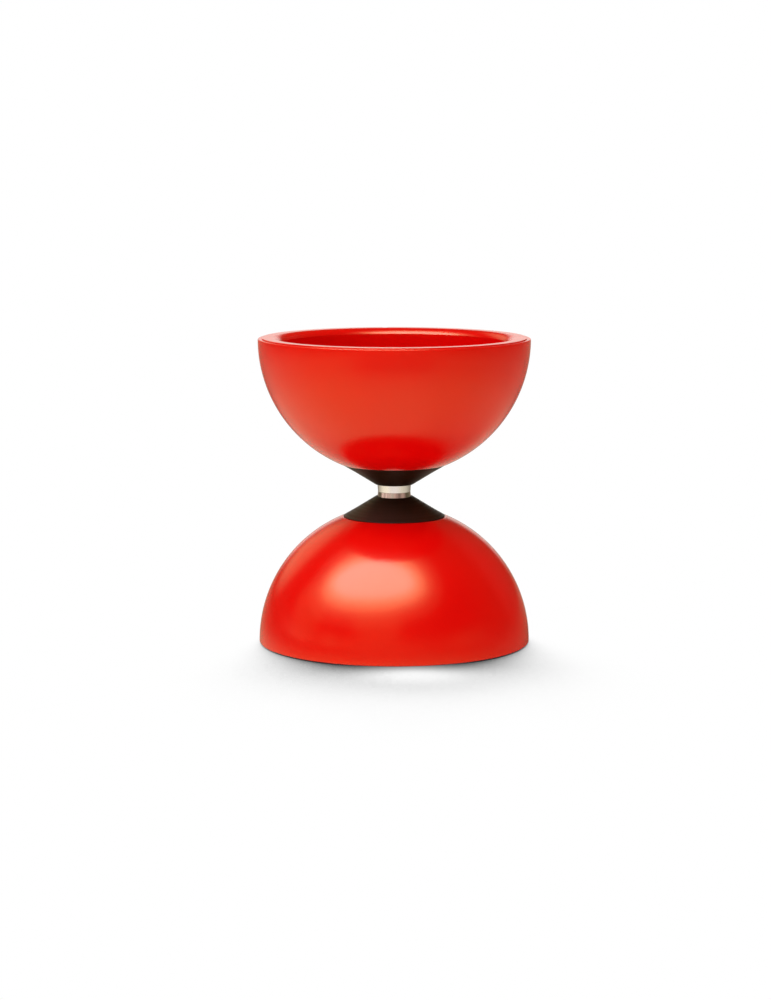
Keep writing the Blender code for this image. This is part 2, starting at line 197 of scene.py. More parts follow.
def edge_mask(outline: np.ndarray, worn_radius: float = 0.3) -> np.ndarray:
    """Mask of worn edges along a closed outline.

    The bend at a point is the angle that the outline turns there, over the mean length of its two sides, which is one
    over the radius of a fillet. The mask is that bend times the radius at which an edge counts as fully worn.

    Args:
        outline: (n, 2) array, counter-clockwise.
        worn_radius: Largest fillet whose mask is still 1.

    Returns:
        (n,) array from 0 to 1.
    """
    ahead = np.roll(outline, -1, axis=0) - outline
    heading = np.arctan2(ahead[:, 1], ahead[:, 0])
    turn = (heading - np.roll(heading, 1) + np.pi) % math.tau - np.pi
    length = np.hypot(ahead[:, 0], ahead[:, 1])
    bend = 2.0 * turn / (length + np.roll(length, 1))
    return np.clip(bend * worn_radius, 0.0, 1.0)


def grid_faces(rows: int, columns: int, closed: bool = True) -> np.ndarray:
    """Quads of a grid of points, where the rows join up in a ring, and the columns too if closed."""
    number = np.arange(rows * columns).reshape(rows, columns)
    beside = np.roll(number, -1, axis=0)
    quads = np.stack([number, beside, np.roll(beside, -1, axis=1), np.roll(number, -1, axis=1)], axis=-1)
    return (quads if closed else quads[:, :-1]).reshape(-1, 4)


def spun(outline: np.ndarray, turns: np.ndarray) -> np.ndarray:
    """Points of an outline spun about the axle: (radius cos t, radius sin t, height) at each turn t, row by row."""
    radius, height = outline.T
    heights = np.broadcast_to(height, (turns.size, height.size))
    grid = np.stack([np.outer(np.cos(turns), radius), np.outer(np.sin(turns), radius), heights], axis=-1)
    return grid.reshape(-1, 3)


def lathe(outline: np.ndarray, turns: np.ndarray) -> Surface:
    """Ring spun from a closed outline that stays clear of the axle."""
    faces = grid_faces(turns.size, len(outline))
    return Surface(spun(outline, turns), [faces], np.tile(edge_mask(outline), turns.size))


def spindle(outline: np.ndarray, turns: np.ndarray) -> Surface:
    """Solid spun from an open outline that starts and ends on the axle, the lower end first.

    Args:
        outline: (n, 2) array whose first and last radius is 0.
        turns: Angles of the rows.

    Returns:
        The surface, with a fan of triangles round each end.
    """
    skin = outline[1:-1]
    rows, columns = turns.size, len(skin)
    poles = np.column_stack([np.zeros((2, 2)), outline[[0, -1], 1]])
    number = np.arange(rows * columns).reshape(rows, columns)
    beside = np.roll(number, -1, axis=0)
    low, high = np.full(rows, number.size), np.full(rows, number.size + 1)
    fans = [
        np.column_stack([low, beside[:, 0], number[:, 0]]),
        np.column_stack([high, number[:, -1], beside[:, -1]]),
    ]
    edge = np.tile(edge_mask(outline)[1:-1], rows)
    points = np.concatenate([spun(skin, turns), poles])
    return Surface(points, [grid_faces(rows, columns, closed=False), *fans], np.append(edge, [0.0, 0.0]))


def ring(inner: float, outer: float, back: float, front: float, fillet: float) -> Surface:
    """Ring of square section with rounded edges."""
    corners = [(inner, back, fillet), (outer, back, fillet), (outer, front, fillet), (inner, front, fillet)]
    return lathe(rounded(*corners), full_turn(RING_COLUMNS))


def placed_round(surface: Surface, number: int, count: int, radius: float, height: float) -> Surface:
    """The same surface, carried to its place among equal ones on a circle round the axle, counted from 1."""
    turn = math.tau * (number - 1) / count
    place = np.array((radius * math.cos(turn), radius * math.sin(turn), height))
    return Surface(surface.points + place, surface.faces, surface.edge)


def from_nearest(turns: np.ndarray, count: int, radius: np.ndarray | float) -> np.ndarray:
    """Distance round the axle from the nearest of a count of equal places, the first of them at no turn."""
    share = turns / math.tau * count
    return np.abs((share + 0.5) % 1.0 - 0.5) * math.tau * radius / count


def add_object(name: str, data: bpy.types.ID) -> bpy.types.Object:
    """Adds an object to the scene, at the origin."""
    made = bpy.data.objects.new(name, data)
    bpy.context.scene.collection.objects.link(made)
    return made


def add_piece(name: str, surface: Surface, half: Half | None, finish: "Finish", body: Body, node: str) -> None:
    """Turns a surface into a piece of the toy that stands for a CAD node. Its place is in its mesh.

    Args:
        name: Name of the piece, without its half.
        surface: Its surface, in the half's own frame.
        half: Half that it belongs to. A piece across the waist has none, and is in the upper half's frame.
        finish: Finish that dresses it.
        body: Body of the frame that it moves with.
        node: CAD node that it replaces, without its half.
    """
    prefix = f"{half.value}_" if half else ""
    mesh = bpy.data.meshes.new(prefix + name)
    faces = [face for block in surface.faces for face in block.tolist()]
    mesh.from_pydata((half or Half.UPPER).place(surface.points).tolist(), [], faces)
    mesh.update()
    layer = mesh.attributes.new("edge", "FLOAT", "POINT")
    layer.data.foreach_set("value", surface.edge.astype(np.float32))
    mesh.shade_smooth()
    mesh.set_sharp_from_angle(angle=SHARP_EDGE)
    mesh.materials.append(finish.material)
    piece = add_object(prefix + name, mesh)
    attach(piece, body.value)
    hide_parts(prefix + node)
    LOG.info("%s: %d faces, %s, on %s", piece.name, len(faces), finish.slot, body.value)


# Shader nodes


class Sheet:
    """A node tree that is being laid out."""

    def __init__(self, tree: bpy.types.NodeTree) -> None:
        """Starts on a tree, as it is."""
        self.tree = tree

    def join(self, node: bpy.types.Node, inputs: dict[str | int, object]) -> bpy.types.Node:
        """Fills a node's inputs.

        Args:
            node: The node.
            inputs: Linked socket or value for each input, by name or number.

        Returns:
            The same node.
        """
        for name, value in inputs.items():
            if isinstance(value, Socket):
                self.tree.links.new(value, node.inputs[name])
            else:
                node.inputs[name].default_value = value
        return node

    def node(self, kind: str, inputs: dict[str | int, object] | None = None, **options: object) -> bpy.types.Node:
        """Adds a node.

        Args:
            kind: Type of the node, without its ShaderNode prefix.
            inputs: Linked socket or value for each input, by name or number.
            options: Settings of the node itself.

        Returns:
            The node.
        """
        made = self.tree.nodes.new("ShaderNode" + kind)
        for option, value in options.items():
            setattr(made, option, value)
        return self.join(made, inputs or {})

    def math(self, operation: str, first: Socket | float, second: Socket | float = 0.0) -> Socket:
        """Output of a Math node."""
        return self.node("Math", {0: first, 1: second}, operation=operation).outputs[0]

    def vector(self, operation: str, first: Socket, second: Socket | Triple = (0.0, 0.0, 0.0)) -> Socket:
        """Output of a Vector Math node: a number for a length or a dot product, and else a vector."""
        made = self.node("VectorMath", {0: first, 1: second}, operation=operation)
        return made.outputs["Value" if operation in ("LENGTH", "DOT_PRODUCT") else "Vector"]

    def scaled(self, colour: Socket, share: Socket) -> Socket:
        """A colour times a number."""
        return self.node("VectorMath", {0: colour, "Scale": share}, operation="SCALE").outputs["Vector"]

    def ramp(
        self, value: Socket, low: float, high: float, start: Socket | float = 0.0, end: Socket | float = 1.0
    ) -> Socket:
        """Eased step of a value: start below low, end above high."""
        limits = {"Value": value, "From Min": low, "From Max": high, "To Min": start, "To Max": end}
        return self.node("MapRange", limits, interpolation_type="SMOOTHSTEP").outputs[0]

    def blend(self, share: Socket, first: Socket | Colour, second: Socket | Colour) -> Socket:
        """Mix of two colours."""
        tones = [tone if isinstance(tone, Socket) else (*tone, 1.0) for tone in (first, second)]
        return self.node("Mix", {0: share, 6: tones[0], 7: tones[1]}, data_type="RGBA").outputs[2]

    def spots(self, place: Socket, size: Socket, detail: float) -> Socket:
        """Even noise in three dimensions, from 0 to 1, with spots of a size in millimetres."""
        scale = self.math("DIVIDE", 1.0 / MM, size)
        return self.node("TexNoise", {"Vector": place, "Scale": scale, "Detail": detail}).outputs[0]

    def streaks(self, place: Socket, scale: float, detail: float) -> Socket:
        """Even noise in one dimension, from 0 to 1."""
        inputs = {"W": place, "Scale": scale, "Detail": detail}
        return self.node("TexNoise", inputs, noise_dimensions="1D").outputs[0]

    def by_ray(self, scattered: bpy.types.Node, in_gloss: bpy.types.Node, to_eye: bpy.types.Node) -> Socket:
        """Mix of three shaders by what sees them: scattered light, a reflection, or the camera."""
        path = self.node("LightPath").outputs
        shown = scattered.outputs[0]
        for ray, shader in (("Is Glossy Ray", in_gloss), ("Is Camera Ray", to_eye)):
            shown = self.node("MixShader", {0: path[ray], 1: shown, 2: shader.outputs[0]}).outputs[0]
        return shown


class Effects:
    """Shader node groups that several finishes share. Each gives masks and values that change over the surface."""

    GRAIN_DETAIL = 3.0
    CLOUD_DETAIL = 4.0
    RING_DETAIL = 2.0
    WEAR_GAIN = 1.7
    WEAR_EDGE = (0.25, 1.05)

    def __init__(self) -> None:
        """Builds every group once."""
        self.fine_grain = self._fine_grain()
        self.rub_wear = self._rub_wear()
        self.turning_marks = self._turning_marks()

    @staticmethod
    def _start(name: str, numbers: dict[str, float], outputs: tuple[str, ...]) -> tuple[Sheet, bpy.types.Node]:
        """Opens a group with a Vector input and named numbers, and returns its sheet and its input node."""
        tree = bpy.data.node_groups.new(name, "ShaderNodeTree")
        tree.interface.new_socket("Vector", in_out="INPUT", socket_type="NodeSocketVector")
        for number, value in numbers.items():
            socket = tree.interface.new_socket(number, in_out="INPUT", socket_type="NodeSocketFloat")
            socket.default_value = value
        for output in outputs:
            tree.interface.new_socket(output, in_out="OUTPUT", socket_type="NodeSocketFloat")
        return Sheet(tree), tree.nodes.new("NodeGroupInput")

    @staticmethod
    def _finish(sheet: Sheet, results: dict[str, Socket]) -> bpy.types.NodeTree:
        """Joins results to the group's output."""
        sheet.join(sheet.tree.nodes.new("NodeGroupOutput"), results)
        return sheet.tree

    def _fine_grain(self) -> bpy.types.NodeTree:
        """Grain of a moulded skin and slow clouds in it. Sizes in millimetres."""
        sheet, start = self._start("fine_grain", {"Grain Size": 0.4, "Cloud Size": 12.0}, ("Grain", "Clouds"))
        place = start.outputs["Vector"]
        grain = sheet.spots(place, start.outputs["Grain Size"], self.GRAIN_DETAIL)
        clouds = sheet.spots(place, start.outputs["Cloud Size"], self.CLOUD_DETAIL)
        return self._finish(sheet, {"Grain": grain, "Clouds": clouds})

    def _rub_wear(self) -> bpy.types.NodeTree:
        """Patchy rubbing along edges: the edge mask, broken up by noise and eased into a mask."""
        sheet, start = self._start("rub_wear", {"Edge": 0.0, "Patch Size": 1.5}, ("Wear",))
        patches = sheet.spots(start.outputs["Vector"], start.outputs["Patch Size"], self.CLOUD_DETAIL)
        worn = sheet.math("MULTIPLY", start.outputs["Edge"], sheet.math("MULTIPLY", patches, self.WEAR_GAIN))
        return self._finish(sheet, {"Wear": sheet.ramp(worn, *self.WEAR_EDGE)})

    def _turning_marks(self) -> bpy.types.NodeTree:
        """Fine uneven rings round the axle, as a lathe tool leaves them, on flats and on cylinders alike."""
        sheet, start = self._start("turning_marks", {"Pitch": 0.12}, ("Rings",))
        place = start.outputs["Vector"]
        radius = sheet.vector("LENGTH", sheet.vector("MULTIPLY", place, (1.0, 1.0, 0.0)))
        height = sheet.node("SeparateXYZ", {0: place}).outputs["Z"]
        along = sheet.math("DIVIDE", sheet.math("ADD", radius, height), MM)
        rings = sheet.streaks(sheet.math("DIVIDE", along, start.outputs["Pitch"]), 1.0, self.RING_DETAIL)
        return self._finish(sheet, {"Rings": rings})


# Finishes


@dataclass(frozen=True)
class Finish:
    """A finish of the toy, ready to dress pieces.

    Attributes:
        slot: Slot of the record that the finish belongs to.
        material: Its Blender material.
    """

    slot: str
    material: bpy.types.Material


@dataclass(frozen=True)
class Skin:
    """What a finish looks like, with sizes in millimetres.

    Its colour runs from deep to bright in slow clouds, and its edges are rubbed. A fine grain gives it relief, and so
    do rings from turning, or from the turned mould, where it has a pitch for them. Its gloss follows the rings, or the
    clouds where there are no rings.

    Attributes:
        slot: Slot of the record.
        name: Name of the material.
        deep: Colour where the clouds are darkest.
        bright: Colour where they are lightest.
        rubbed: Colour of rubbed edges.
        roughness: Least and most roughness.
        grain_size: Size of the grain.
        cloud_size: Size of the clouds.
        wear_size: Size of the rubbed patches.
        relief: Height of the relief.
        constants: Inputs of the shader that are the same all over.
        ring_pitch: Mean pitch of the rings, or 0 for none.
        relief_mix: Shares of the grain and of the rings in the relief.
        gloss_range: Values of the rings or clouds between which the roughness runs.
    """

    slot: str
    name: str
    deep: Colour
    bright: Colour
    rubbed: Colour
    roughness: Pair
    grain_size: float
    cloud_size: float
    wear_size: float
    relief: float
    constants: dict[str, object]
    ring_pitch: float = 0.0
    relief_mix: Pair = (1.0, 0.5)
    gloss_range: Pair = (0.25, 0.75)

    def finish(self, effects: Effects) -> Finish:
        """Builds the material: a Principled shader on Object coordinates, with the shared effects.

        Args:
            effects: The shared effects.

        Returns:
            The finish.
        """
        material = bpy.data.materials.new(self.name)
        material.use_nodes = True
        sheet = Sheet(material.node_tree)
        place = {"Vector": sheet.node("TexCoord").outputs["Object"]}
        sizes = {"Grain Size": self.grain_size, "Cloud Size": self.cloud_size}
        skin = sheet.node("Group", {**place, **sizes}, node_tree=effects.fine_grain).outputs
        edge = sheet.node("Attribute", attribute_name="edge").outputs["Fac"]
        rubbing = {"Edge": edge, "Patch Size": self.wear_size}
        wear = sheet.node("Group", {**place, **rubbing}, node_tree=effects.rub_wear).outputs["Wear"]
        gloss, height = skin["Clouds"], skin["Grain"]
        if self.ring_pitch:
            turning = {**place, "Pitch": self.ring_pitch}
            gloss = sheet.node("Group", turning, node_tree=effects.turning_marks).outputs["Rings"]
            parts = zip((height, gloss), self.relief_mix)
            height = sheet.math("ADD", *(sheet.math("MULTIPLY", part, share) for part, share in parts))
        bump = sheet.node("Bump", {"Strength": 1.0, "Distance": self.relief * MM, "Height": height})
        varied = {
            "Base Color": sheet.blend(wear, sheet.blend(skin["Clouds"], self.deep, self.bright), self.rubbed),
            "Roughness": sheet.ramp(gloss, *self.gloss_range, *self.roughness),
            "Normal": bump.outputs[0],
        }
        sheet.join(sheet.tree.nodes["Principled BSDF"], {**self.constants, **varied})
        return Finish(self.slot, material)


RUBBER = Skin(
    slot="red_rubber",
    name="satin_red_rubber",
    deep=(0.775, 0.0002, 0.0004),
    bright=(0.795, 0.0004, 0.0005),
    rubbed=(0.83, 0.014, 0.009),
    roughness=(0.165, 0.185),
    grain_size=0.80,
    cloud_size=16.0,
    wear_size=1.8,
    relief=0.010,
    constants={"IOR": 1.45, "Specular Tint": (1.0, 1.0, 0.46, 1.0)},
)
BLACK_NYLON = Skin(
    slot="black_nylon",
    name="moulded_black_nylon",
    deep=(0.0215, 0.0050, 0.0006),
    bright=(0.0275, 0.0066, 0.0012),
    rubbed=(0.030, 0.012, 0.006),
    roughness=(0.42, 0.52),
    grain_size=0.30,
    cloud_size=6.0,
    wear_size=0.9,
    relief=0.006,
    constants={"IOR": 1.30},
    ring_pitch=0.45,
)
METAL = {
    "grain_size": 0.15,
    "wear_size": 0.5,
    "constants": {"Metallic": 1.0},
    "relief_mix": (0.3, 1.0),
    "gloss_range": (0.2, 0.8),
}
TURNED_STEEL = Skin(
    slot="polished_steel",
    name="turned_steel",
    deep=(0.73, 0.68, 0.78),
    bright=(0.77, 0.72, 0.82),
    rubbed=(0.81, 0.78, 0.84),
    roughness=(0.08, 0.15),
    cloud_size=3.0,
    ring_pitch=0.16,
    relief=0.0012,
    **METAL,
)
ZINC_PLATE = Skin(
    slot="zinc_steel",
    name="zinc_plate",
    deep=(0.50, 0.52, 0.53),
    bright=(0.64, 0.65, 0.62),
    rubbed=(0.74, 0.74, 0.73),
    roughness=(0.26, 0.40),
    cloud_size=2.2,
    ring_pitch=0.30,
    relief=0.003,
    **METAL,
)
BEARING_STEEL = Skin(
    slot="bearing_steel",
    name="ground_bearing_steel",
    deep=(0.55, 0.56, 0.57),
    bright=(0.62, 0.63, 0.64),
    rubbed=(0.72, 0.72, 0.72),
    roughness=(0.10, 0.20),
    cloud_size=1.6,
    ring_pitch=0.08,
    relief=0.0006,
    **METAL,
)
WHITE_NYLON = Skin(
    slot="white_nylon",
    name="natural_nylon",
    deep=(0.70, 0.68, 0.60),
    bright=(0.80, 0.79, 0.73),
    rubbed=(0.86, 0.85, 0.82),
    roughness=(0.38, 0.50),
    grain_size=0.20,
    cloud_size=2.5,
    wear_size=0.6,
    relief=0.004,
    constants={"IOR": 1.53},
)


class Finishes:
    """Every finish of the toy, built once."""

    def __init__(self) -> None:
        """Builds the shared effects and the finishes on them."""
        effects = Effects()
        self.rubber = RUBBER.finish(effects)
        self.black_nylon = BLACK_NYLON.finish(effects)
        self.polished = TURNED_STEEL.finish(effects)
        self.zinc = ZINC_PLATE.finish(effects)
        self.bearing = BEARING_STEEL.finish(effects)
        self.white_nylon = WHITE_NYLON.finish(effects)


# Sub-assemblies


@dataclass
class Cup:
    """A hollow half ball with a flat land at its pole, a stepped rim, and a thick bead with a rounded lip inside."""

    ball_radius: float = 57.5
    wall: float = 3.0
    ball_centre: float = 64.25
    land: float = 11.2
    seat: float = 15.0
    hole: float = 9.1
    step: float = 0.45
    step_radius: float = 55.9
    shoulder: float = 0.4
    bead_radius: float = 48.2
    bead_depth: float = 7.5
    bead_round: float = 6.0
    bead_slope: float = 35.0
    bead_foot: float = 15.5
    lip_radius: float = 4.0
    lip_slope: float = 24.0
    lip_round: float = 0.3
    nick_turn: float = 94.0
    nick_width: float = 1.1
    nick_depth: float = 0.32
    nick_height: float = 0.4
    nick_band: float = 0.8
    nick_drop: float = 0.5
    nick_sweep: float = 0.07
    nick_columns: int = 29
    land_blend: float = 0.5
    foot_blend: float = 2.5
    seat_blend: float = 0.8
    columns: int = 220

    def at_height(self, sphere: float, height: float) -> float:
        """Angle in degrees, about the ball's centre, of a sphere's point at this height."""
        return math.degrees(math.asin((height - self.ball_centre) / sphere))

    def outline(self) -> np.ndarray:
        """Section of the cup, from its hole along the land, up the outside, over the rim and down the inside.

        Returns:
            (n, 2) array. The outside and the inside are arcs about the ball's centre. The lip is rounded down to the
            bead, a short upright wall that is rounded off below and runs out into the inside.
        """
        inner = self.ball_radius - self.wall
        centre = (0.0, self.ball_centre)
        land_radius = math.sqrt(self.ball_radius**2 - (self.ball_centre - self.land) ** 2)
        seat_radius = math.sqrt(inner**2 - (self.ball_centre - self.seat) ** 2)
        step_height = WAIST - self.step
        shoulder = (self.ball_radius - self.shoulder, step_height - self.shoulder)
        ends = (self.land + self.land_blend, shoulder[1])
        outside = [self.at_height(self.ball_radius, end) for end in ends]
        slope, spare = math.radians(self.lip_slope), self.lip_radius - self.lip_round
        lip = (self.bead_radius + self.lip_round + spare * math.cos(slope), WAIST - self.lip_radius)
        low = (self.bead_radius + self.lip_round, lip[1] + spare * math.sin(slope))
        bead = (self.bead_radius + self.bead_round, WAIST - self.bead_depth)
        foot_height = WAIST - self.bead_foot
        foot = (math.sqrt(inner**2 - (self.ball_centre - foot_height) ** 2), foot_height)
        ends = (foot_height - self.foot_blend, self.seat + self.seat_blend)
        inside = [self.at_height(inner, end) for end in ends]
        return rounded(
            (self.hole, self.land, 0.3),
            (land_radius, self.land, 0.9),
            stretch(arc(centre, self.ball_radius, *outside, 64)[:-1]),
            stretch(arc(shoulder, self.shoulder, 0, 90, 10)),
            (self.step_radius, step_height, 0.08),
            (self.step_radius, WAIST, 0.16),
            stretch(arc(lip, self.lip_radius, 90, 180 - self.lip_slope, 14)),
            stretch(arc(low, self.lip_round, 180 - self.lip_slope, 180, 4)),
            stretch(arc(bead, self.bead_round, 180, 180 + self.bead_slope, 8)),
            (*foot, 3.0),
            stretch(arc(centre, inner, *inside, 40)),
            (seat_radius, self.seat, 1.5),
            (self.hole, self.seat, 0.3),
        )

    def surface(self, half: Half) -> Surface:
        """The cup, with the small nick that its moulding gate leaves on the rim's outer edge, at the toy's back.

        Args:
            half: Half that the cup belongs to. The lower one is turned over, so its nick is on the other side of X.

        Returns:
            The spun outline. Near the nick the radius is less by its depth, times a bell over the distance round the
            rim and a bell over the distance below the rim's edge.
        """
        nick = math.radians(self.nick_turn if half is Half.UPPER else -self.nick_turn)
        close = (nick + np.linspace(-self.nick_sweep, self.nick_sweep, self.nick_columns)) % math.tau
        turns = np.unique(np.round(np.concatenate([full_turn(self.columns), close]), 6))
        surface = lathe(self.outline(), turns)
        x, y, height = surface.points.T
        radius = np.hypot(x, y)
        round_rim = (np.arctan2(y, x) - nick) * self.step_radius
        below_rim = WAIST - height
        bell = np.exp(-((round_rim / self.nick_width) ** 4)) * np.exp(-((below_rim / self.nick_height) ** 4))
        dent = self.nick_depth * bell * (radius > self.step_radius - self.nick_band)
        surface.points[:, :2] *= (1.0 - dent / np.maximum(radius, 1.0))[:, None]
        surface.points[:, 2] -= self.nick_drop * dent
        return surface

    def build(self, half: Half, finishes: Finishes) -> None:
        """Adds the half's cup."""
        add_piece("cup_moulding", self.surface(half), half, finishes.rubber, Body.CUPS, "cup")


@dataclass
class HubCone:
    """Black cone that leads the string to the roller, with a recess over its end and a spigot in the cup."""

    tip: float = 2.6
    tip_radius: float = 7.95
    recess: float = 7.35
    flare: Pair = (16.8, 8.1)
    base: float = 11.1
    base_radius: float = 21.5
    base_edge: float = 0.25
    spigot: float = 9.0
    spigot_end: float = 14.7
    bore: float = 3.1
    web: float = 9.0
    columns: int = 160

    def outline(self) -> np.ndarray:
        """Section of the cone: tip, flared side, base, spigot and bore, with a soft bend in the flare."""
        return rounded(
            (self.recess, self.tip, 0.15),
            (self.tip_radius, self.tip, 0.18),
            (*self.flare, 24.0),
            (self.base_radius, self.base - self.base_edge, 0.12),
            (self.base_radius, self.base, 0.08),
            (self.spigot, self.base, 0.15),
            (self.spigot, self.spigot_end, 0.40),
            (self.bore, self.spigot_end, 0.25),
            (self.bore, self.web, 0.15),
            (self.recess, self.web, 0.30),
            steps=6,
        )

    def build(self, half: Half, finishes: Finishes) -> None:
        """Adds the half's cone."""
        surface = lathe(self.outline(), full_turn(self.columns))
        add_piece("cone_moulding", surface, half, finishes.black_nylon, Body.CUPS, "hub_cone")


@dataclass
class ClampStack:
    """What holds a cup from inside: a ribbed plate, a washer, and a lock nut with its nylon ring."""

    bore: float = 3.1
    plate_back: float = 15.1
    plate_radius: float = 20.0
    plate_thickness: float = 2.4
    plate_round: float = 1.0
    plate_dish: Pair = (11.5, 17.6)
    plate_boss: Pair = (10.5, 18.6)
    rib_count: int = 12
    rib_width: float = 1.3
    rib_blend: float = 0.5
    pocket: Pair = (12.3, 18.2)
    pocket_blend: float = 0.6
    pocket_depth: float = 0.7
    plate_columns: int = 360
    face_inset: Pair = (0.3, 0.4)
    face_depth: float = 0.05
    face_steps: int = 36
    washer: Triple = (9.0, 18.7, 20.3)
    washer_round: float = 0.28
    nut_back: float = 20.4
    nut_across: float = 10.0
    nut_hex_top: float = 24.7
    nut_top: float = 26.4
    nut_collar: float = 4.6
    nut_chamfer: float = 0.55
    nylon_radius: float = 4.0
    nylon_back: float = 25.0
    nylon_gap: float = 0.1
    nylon_round: float = 0.35
    collar_step: float = 0.12
    collar_taper: float = 0.1
    nut_corner: Pair = (0.44, 0.52)
    nut_corner_band: float = 0.6
    nut_columns: int = 144

    def plate(self) -> Surface:
        """Plate with a boss, a rounded edge, and shallow pockets between ribs on its dished face.

        Returns:
            The spun outline, lowered in the pockets by their depth times an eased mask of the radius and an eased mask
            of the distance from the nearest rib, measured round the axle.
        """
        top = self.plate_back + self.plate_thickness
        edge = (self.plate_radius - self.plate_round, top - self.plate_round)
        outer, inner = edge[0] - self.face_inset[0], self.plate_dish[0] + self.face_inset[1]
        face = np.linspace((outer, top), (inner, self.plate_dish[1]), self.face_steps)
        outline = rounded(
            (self.bore, self.plate_back, 0.2),
            (self.plate_radius, self.plate_back, 0.3),
            stretch(arc(edge, self.plate_round, 0, 90, 8)),
            stretch(face),
            (*self.plate_dish, 0.25),
            (*self.plate_boss, 0.35),
            (self.bore, self.plate_boss[1], 0.3),
        )
        surface = lathe(outline, full_turn(self.plate_columns))
        x, y, height = surface.points.T
        radius = np.hypot(x, y)
        from_rib = from_nearest(np.arctan2(y, x), self.rib_count, radius)
        low, high = self.pocket
        hollow = smoothstep(low, low + self.pocket_blend, radius)
        hollow *= 1.0 - smoothstep(high - self.pocket_blend, high, radius)
        hollow *= smoothstep(self.rib_width / 2, self.rib_width / 2 + self.rib_blend, from_rib)
        hollow *= height > top - self.face_depth
        surface.points[:, 2] -= self.pocket_depth * hollow
        return surface

    def nut(self) -> Surface:
        """Lock nut: a turned blank with chamfered corners and a round collar, drawn in to six flats.

        Returns:
            The spun blank. A point further out than the flats is drawn in to half the width across flats over the
            cosine of its angle from the middle of its flat.
        """
        corner = self.nut_across / math.sqrt(3)
        seat = self.nylon_back - self.nylon_gap
        hollow = self.nylon_radius + self.nylon_gap
        ends = (self.nut_back + self.nut_chamfer, self.nut_hex_top - self.nut_chamfer)
        side = np.linspace(*((corner, end) for end in ends), 6)
        outline = rounded(
            (self.bore, self.nut_back, 0.25),
            (corner - self.nut_chamfer, self.nut_back, 0.0),
            stretch(side),
            (self.nut_collar + self.collar_step, self.nut_hex_top, 0.0),
            (self.nut_collar, self.nut_hex_top + self.collar_step, 0.0),
            (self.nut_collar - self.collar_taper, self.nut_top, 0.3),
            (hollow, self.nut_top, 0.1),
            (hollow, seat, 0.1),
            (self.bore, seat, 0.2),
        )
        surface = lathe(outline, full_turn(self.nut_columns))
        x, y, _ = surface.points.T
        radius = np.hypot(x, y)
        from_flat = (np.arctan2(y, x) - math.pi / 2) % (math.pi / 3) - math.pi / 6
        limit = self.nut_across / 2 / np.cos(from_flat)
        surface.points[:, :2] *= np.minimum(1.0, limit / np.maximum(radius, TINY))[:, None]
        corners = smoothstep(*self.nut_corner, np.abs(from_flat)) * (radius > corner - self.nut_corner_band)
        surface.edge[:] = np.maximum(surface.edge, corners)
        return surface

    def build(self, half: Half, finishes: Finishes) -> None:
        """Adds the half's plate, washer, nut and nylon ring."""
        washer = ring(self.bore, *self.washer, self.washer_round)
        nylon = ring(self.bore, self.nylon_radius, self.nylon_back, self.nut_top, self.nylon_round)
        for name, surface, finish, node in (
            ("plate_moulding", self.plate(), finishes.black_nylon, "clamp_plate"),
            ("washer_pressing", washer, finishes.zinc, "washer"),
            ("nut_forging", self.nut(), finishes.zinc, "lock_nut"),
            ("nut_ring", nylon, finishes.white_nylon, "nut_insert"),
        ):
            add_piece(name, surface, half, finish, Body.CUPS, node)


@dataclass
class Axle:
    """Stepped shaft with a track for the clutch in the middle and a screw thread at both ends."""

    radius: float = 3.0
    track_radius: float = 3.4
    track_end: float = 4.0
    end: float = 28.0
    chamfer: float = 0.6
    thread_start: float = 19.0
    thread_pitch: float = 1.0
    thread_depth: float = 0.58
    thread_crest: float = 0.13
    thread_flank: float = 0.67
    centre_radius: float = 0.9
    centre_depth: float = 0.7
    thread_steps: int = 150
    columns: int = 84

    def outline(self) -> np.ndarray:
        """Open section from the lower end's drilled centre, along the outside, to the upper end's."""
        threaded = np.linspace(self.thread_start, self.end - self.chamfer, self.thread_steps)
        chamfered = np.linspace(self.end - self.chamfer, self.end, 8)[1:]
        slope = self.radius + (self.end - self.chamfer) - chamfered
        seat = [(self.radius, h) for h in (self.track_end, self.track_end + 0.1, self.thread_start - 0.1)]
        half = np.array(
            [
                (self.track_radius, 0.0),
                (self.track_radius, self.track_end - 0.2),
                (self.track_radius - 0.03, self.track_end - 0.1),
                (self.track_radius - 0.15, self.track_end),
                *seat,
                *np.column_stack([np.full(threaded.size, self.radius), threaded]),
                *np.column_stack([slope, chamfered]),
                (self.radius - self.chamfer - 0.1, self.end),
                (self.centre_radius + 0.1, self.end),
                (self.centre_radius, self.end - 0.03),
                (0.0, self.end - self.centre_depth),
            ]
        )
        return np.concatenate([(half * (1.0, -1.0))[:0:-1], half])

    def surface(self) -> Surface:
        """The shaft, with its threads cut.

        Returns:
            The spun outline. Past the thread's start the radius is at most the shaft's radius less the thread's depth
            times a wave of the height over the pitch less the share of a turn, which climbs like a right-hand screw.
            The wave is flat at crests and roots, and it fades in over the first turn.
        """
        surface = spindle(self.outline(), full_turn(self.columns))
        x, y, height = surface.points.T
        radius = np.hypot(x, y)
        phase = (height / self.thread_pitch - np.arctan2(y, x) / math.tau) % 1.0
        groove = np.clip((np.abs(2.0 * phase - 1.0) - self.thread_crest) / self.thread_flank, 0.0, 1.0)
        fade = smoothstep(self.thread_start, self.thread_start + self.thread_pitch, np.abs(height))
        limit = self.radius - self.thread_depth * groove * fade
        cut = (np.abs(height) >= self.thread_start) & (radius > self.radius - self.chamfer - 0.05)
        share = np.where(cut, np.minimum(1.0, limit / np.maximum(radius, TINY)), 1.0)
        surface.points[:, :2] *= share[:, None]
        return surface

    def build(self, finishes: Finishes) -> None:
        """Adds the shaft."""
        add_piece("axle_shaft", self.surface(), None, finishes.zinc, Body.CUPS, "axle")


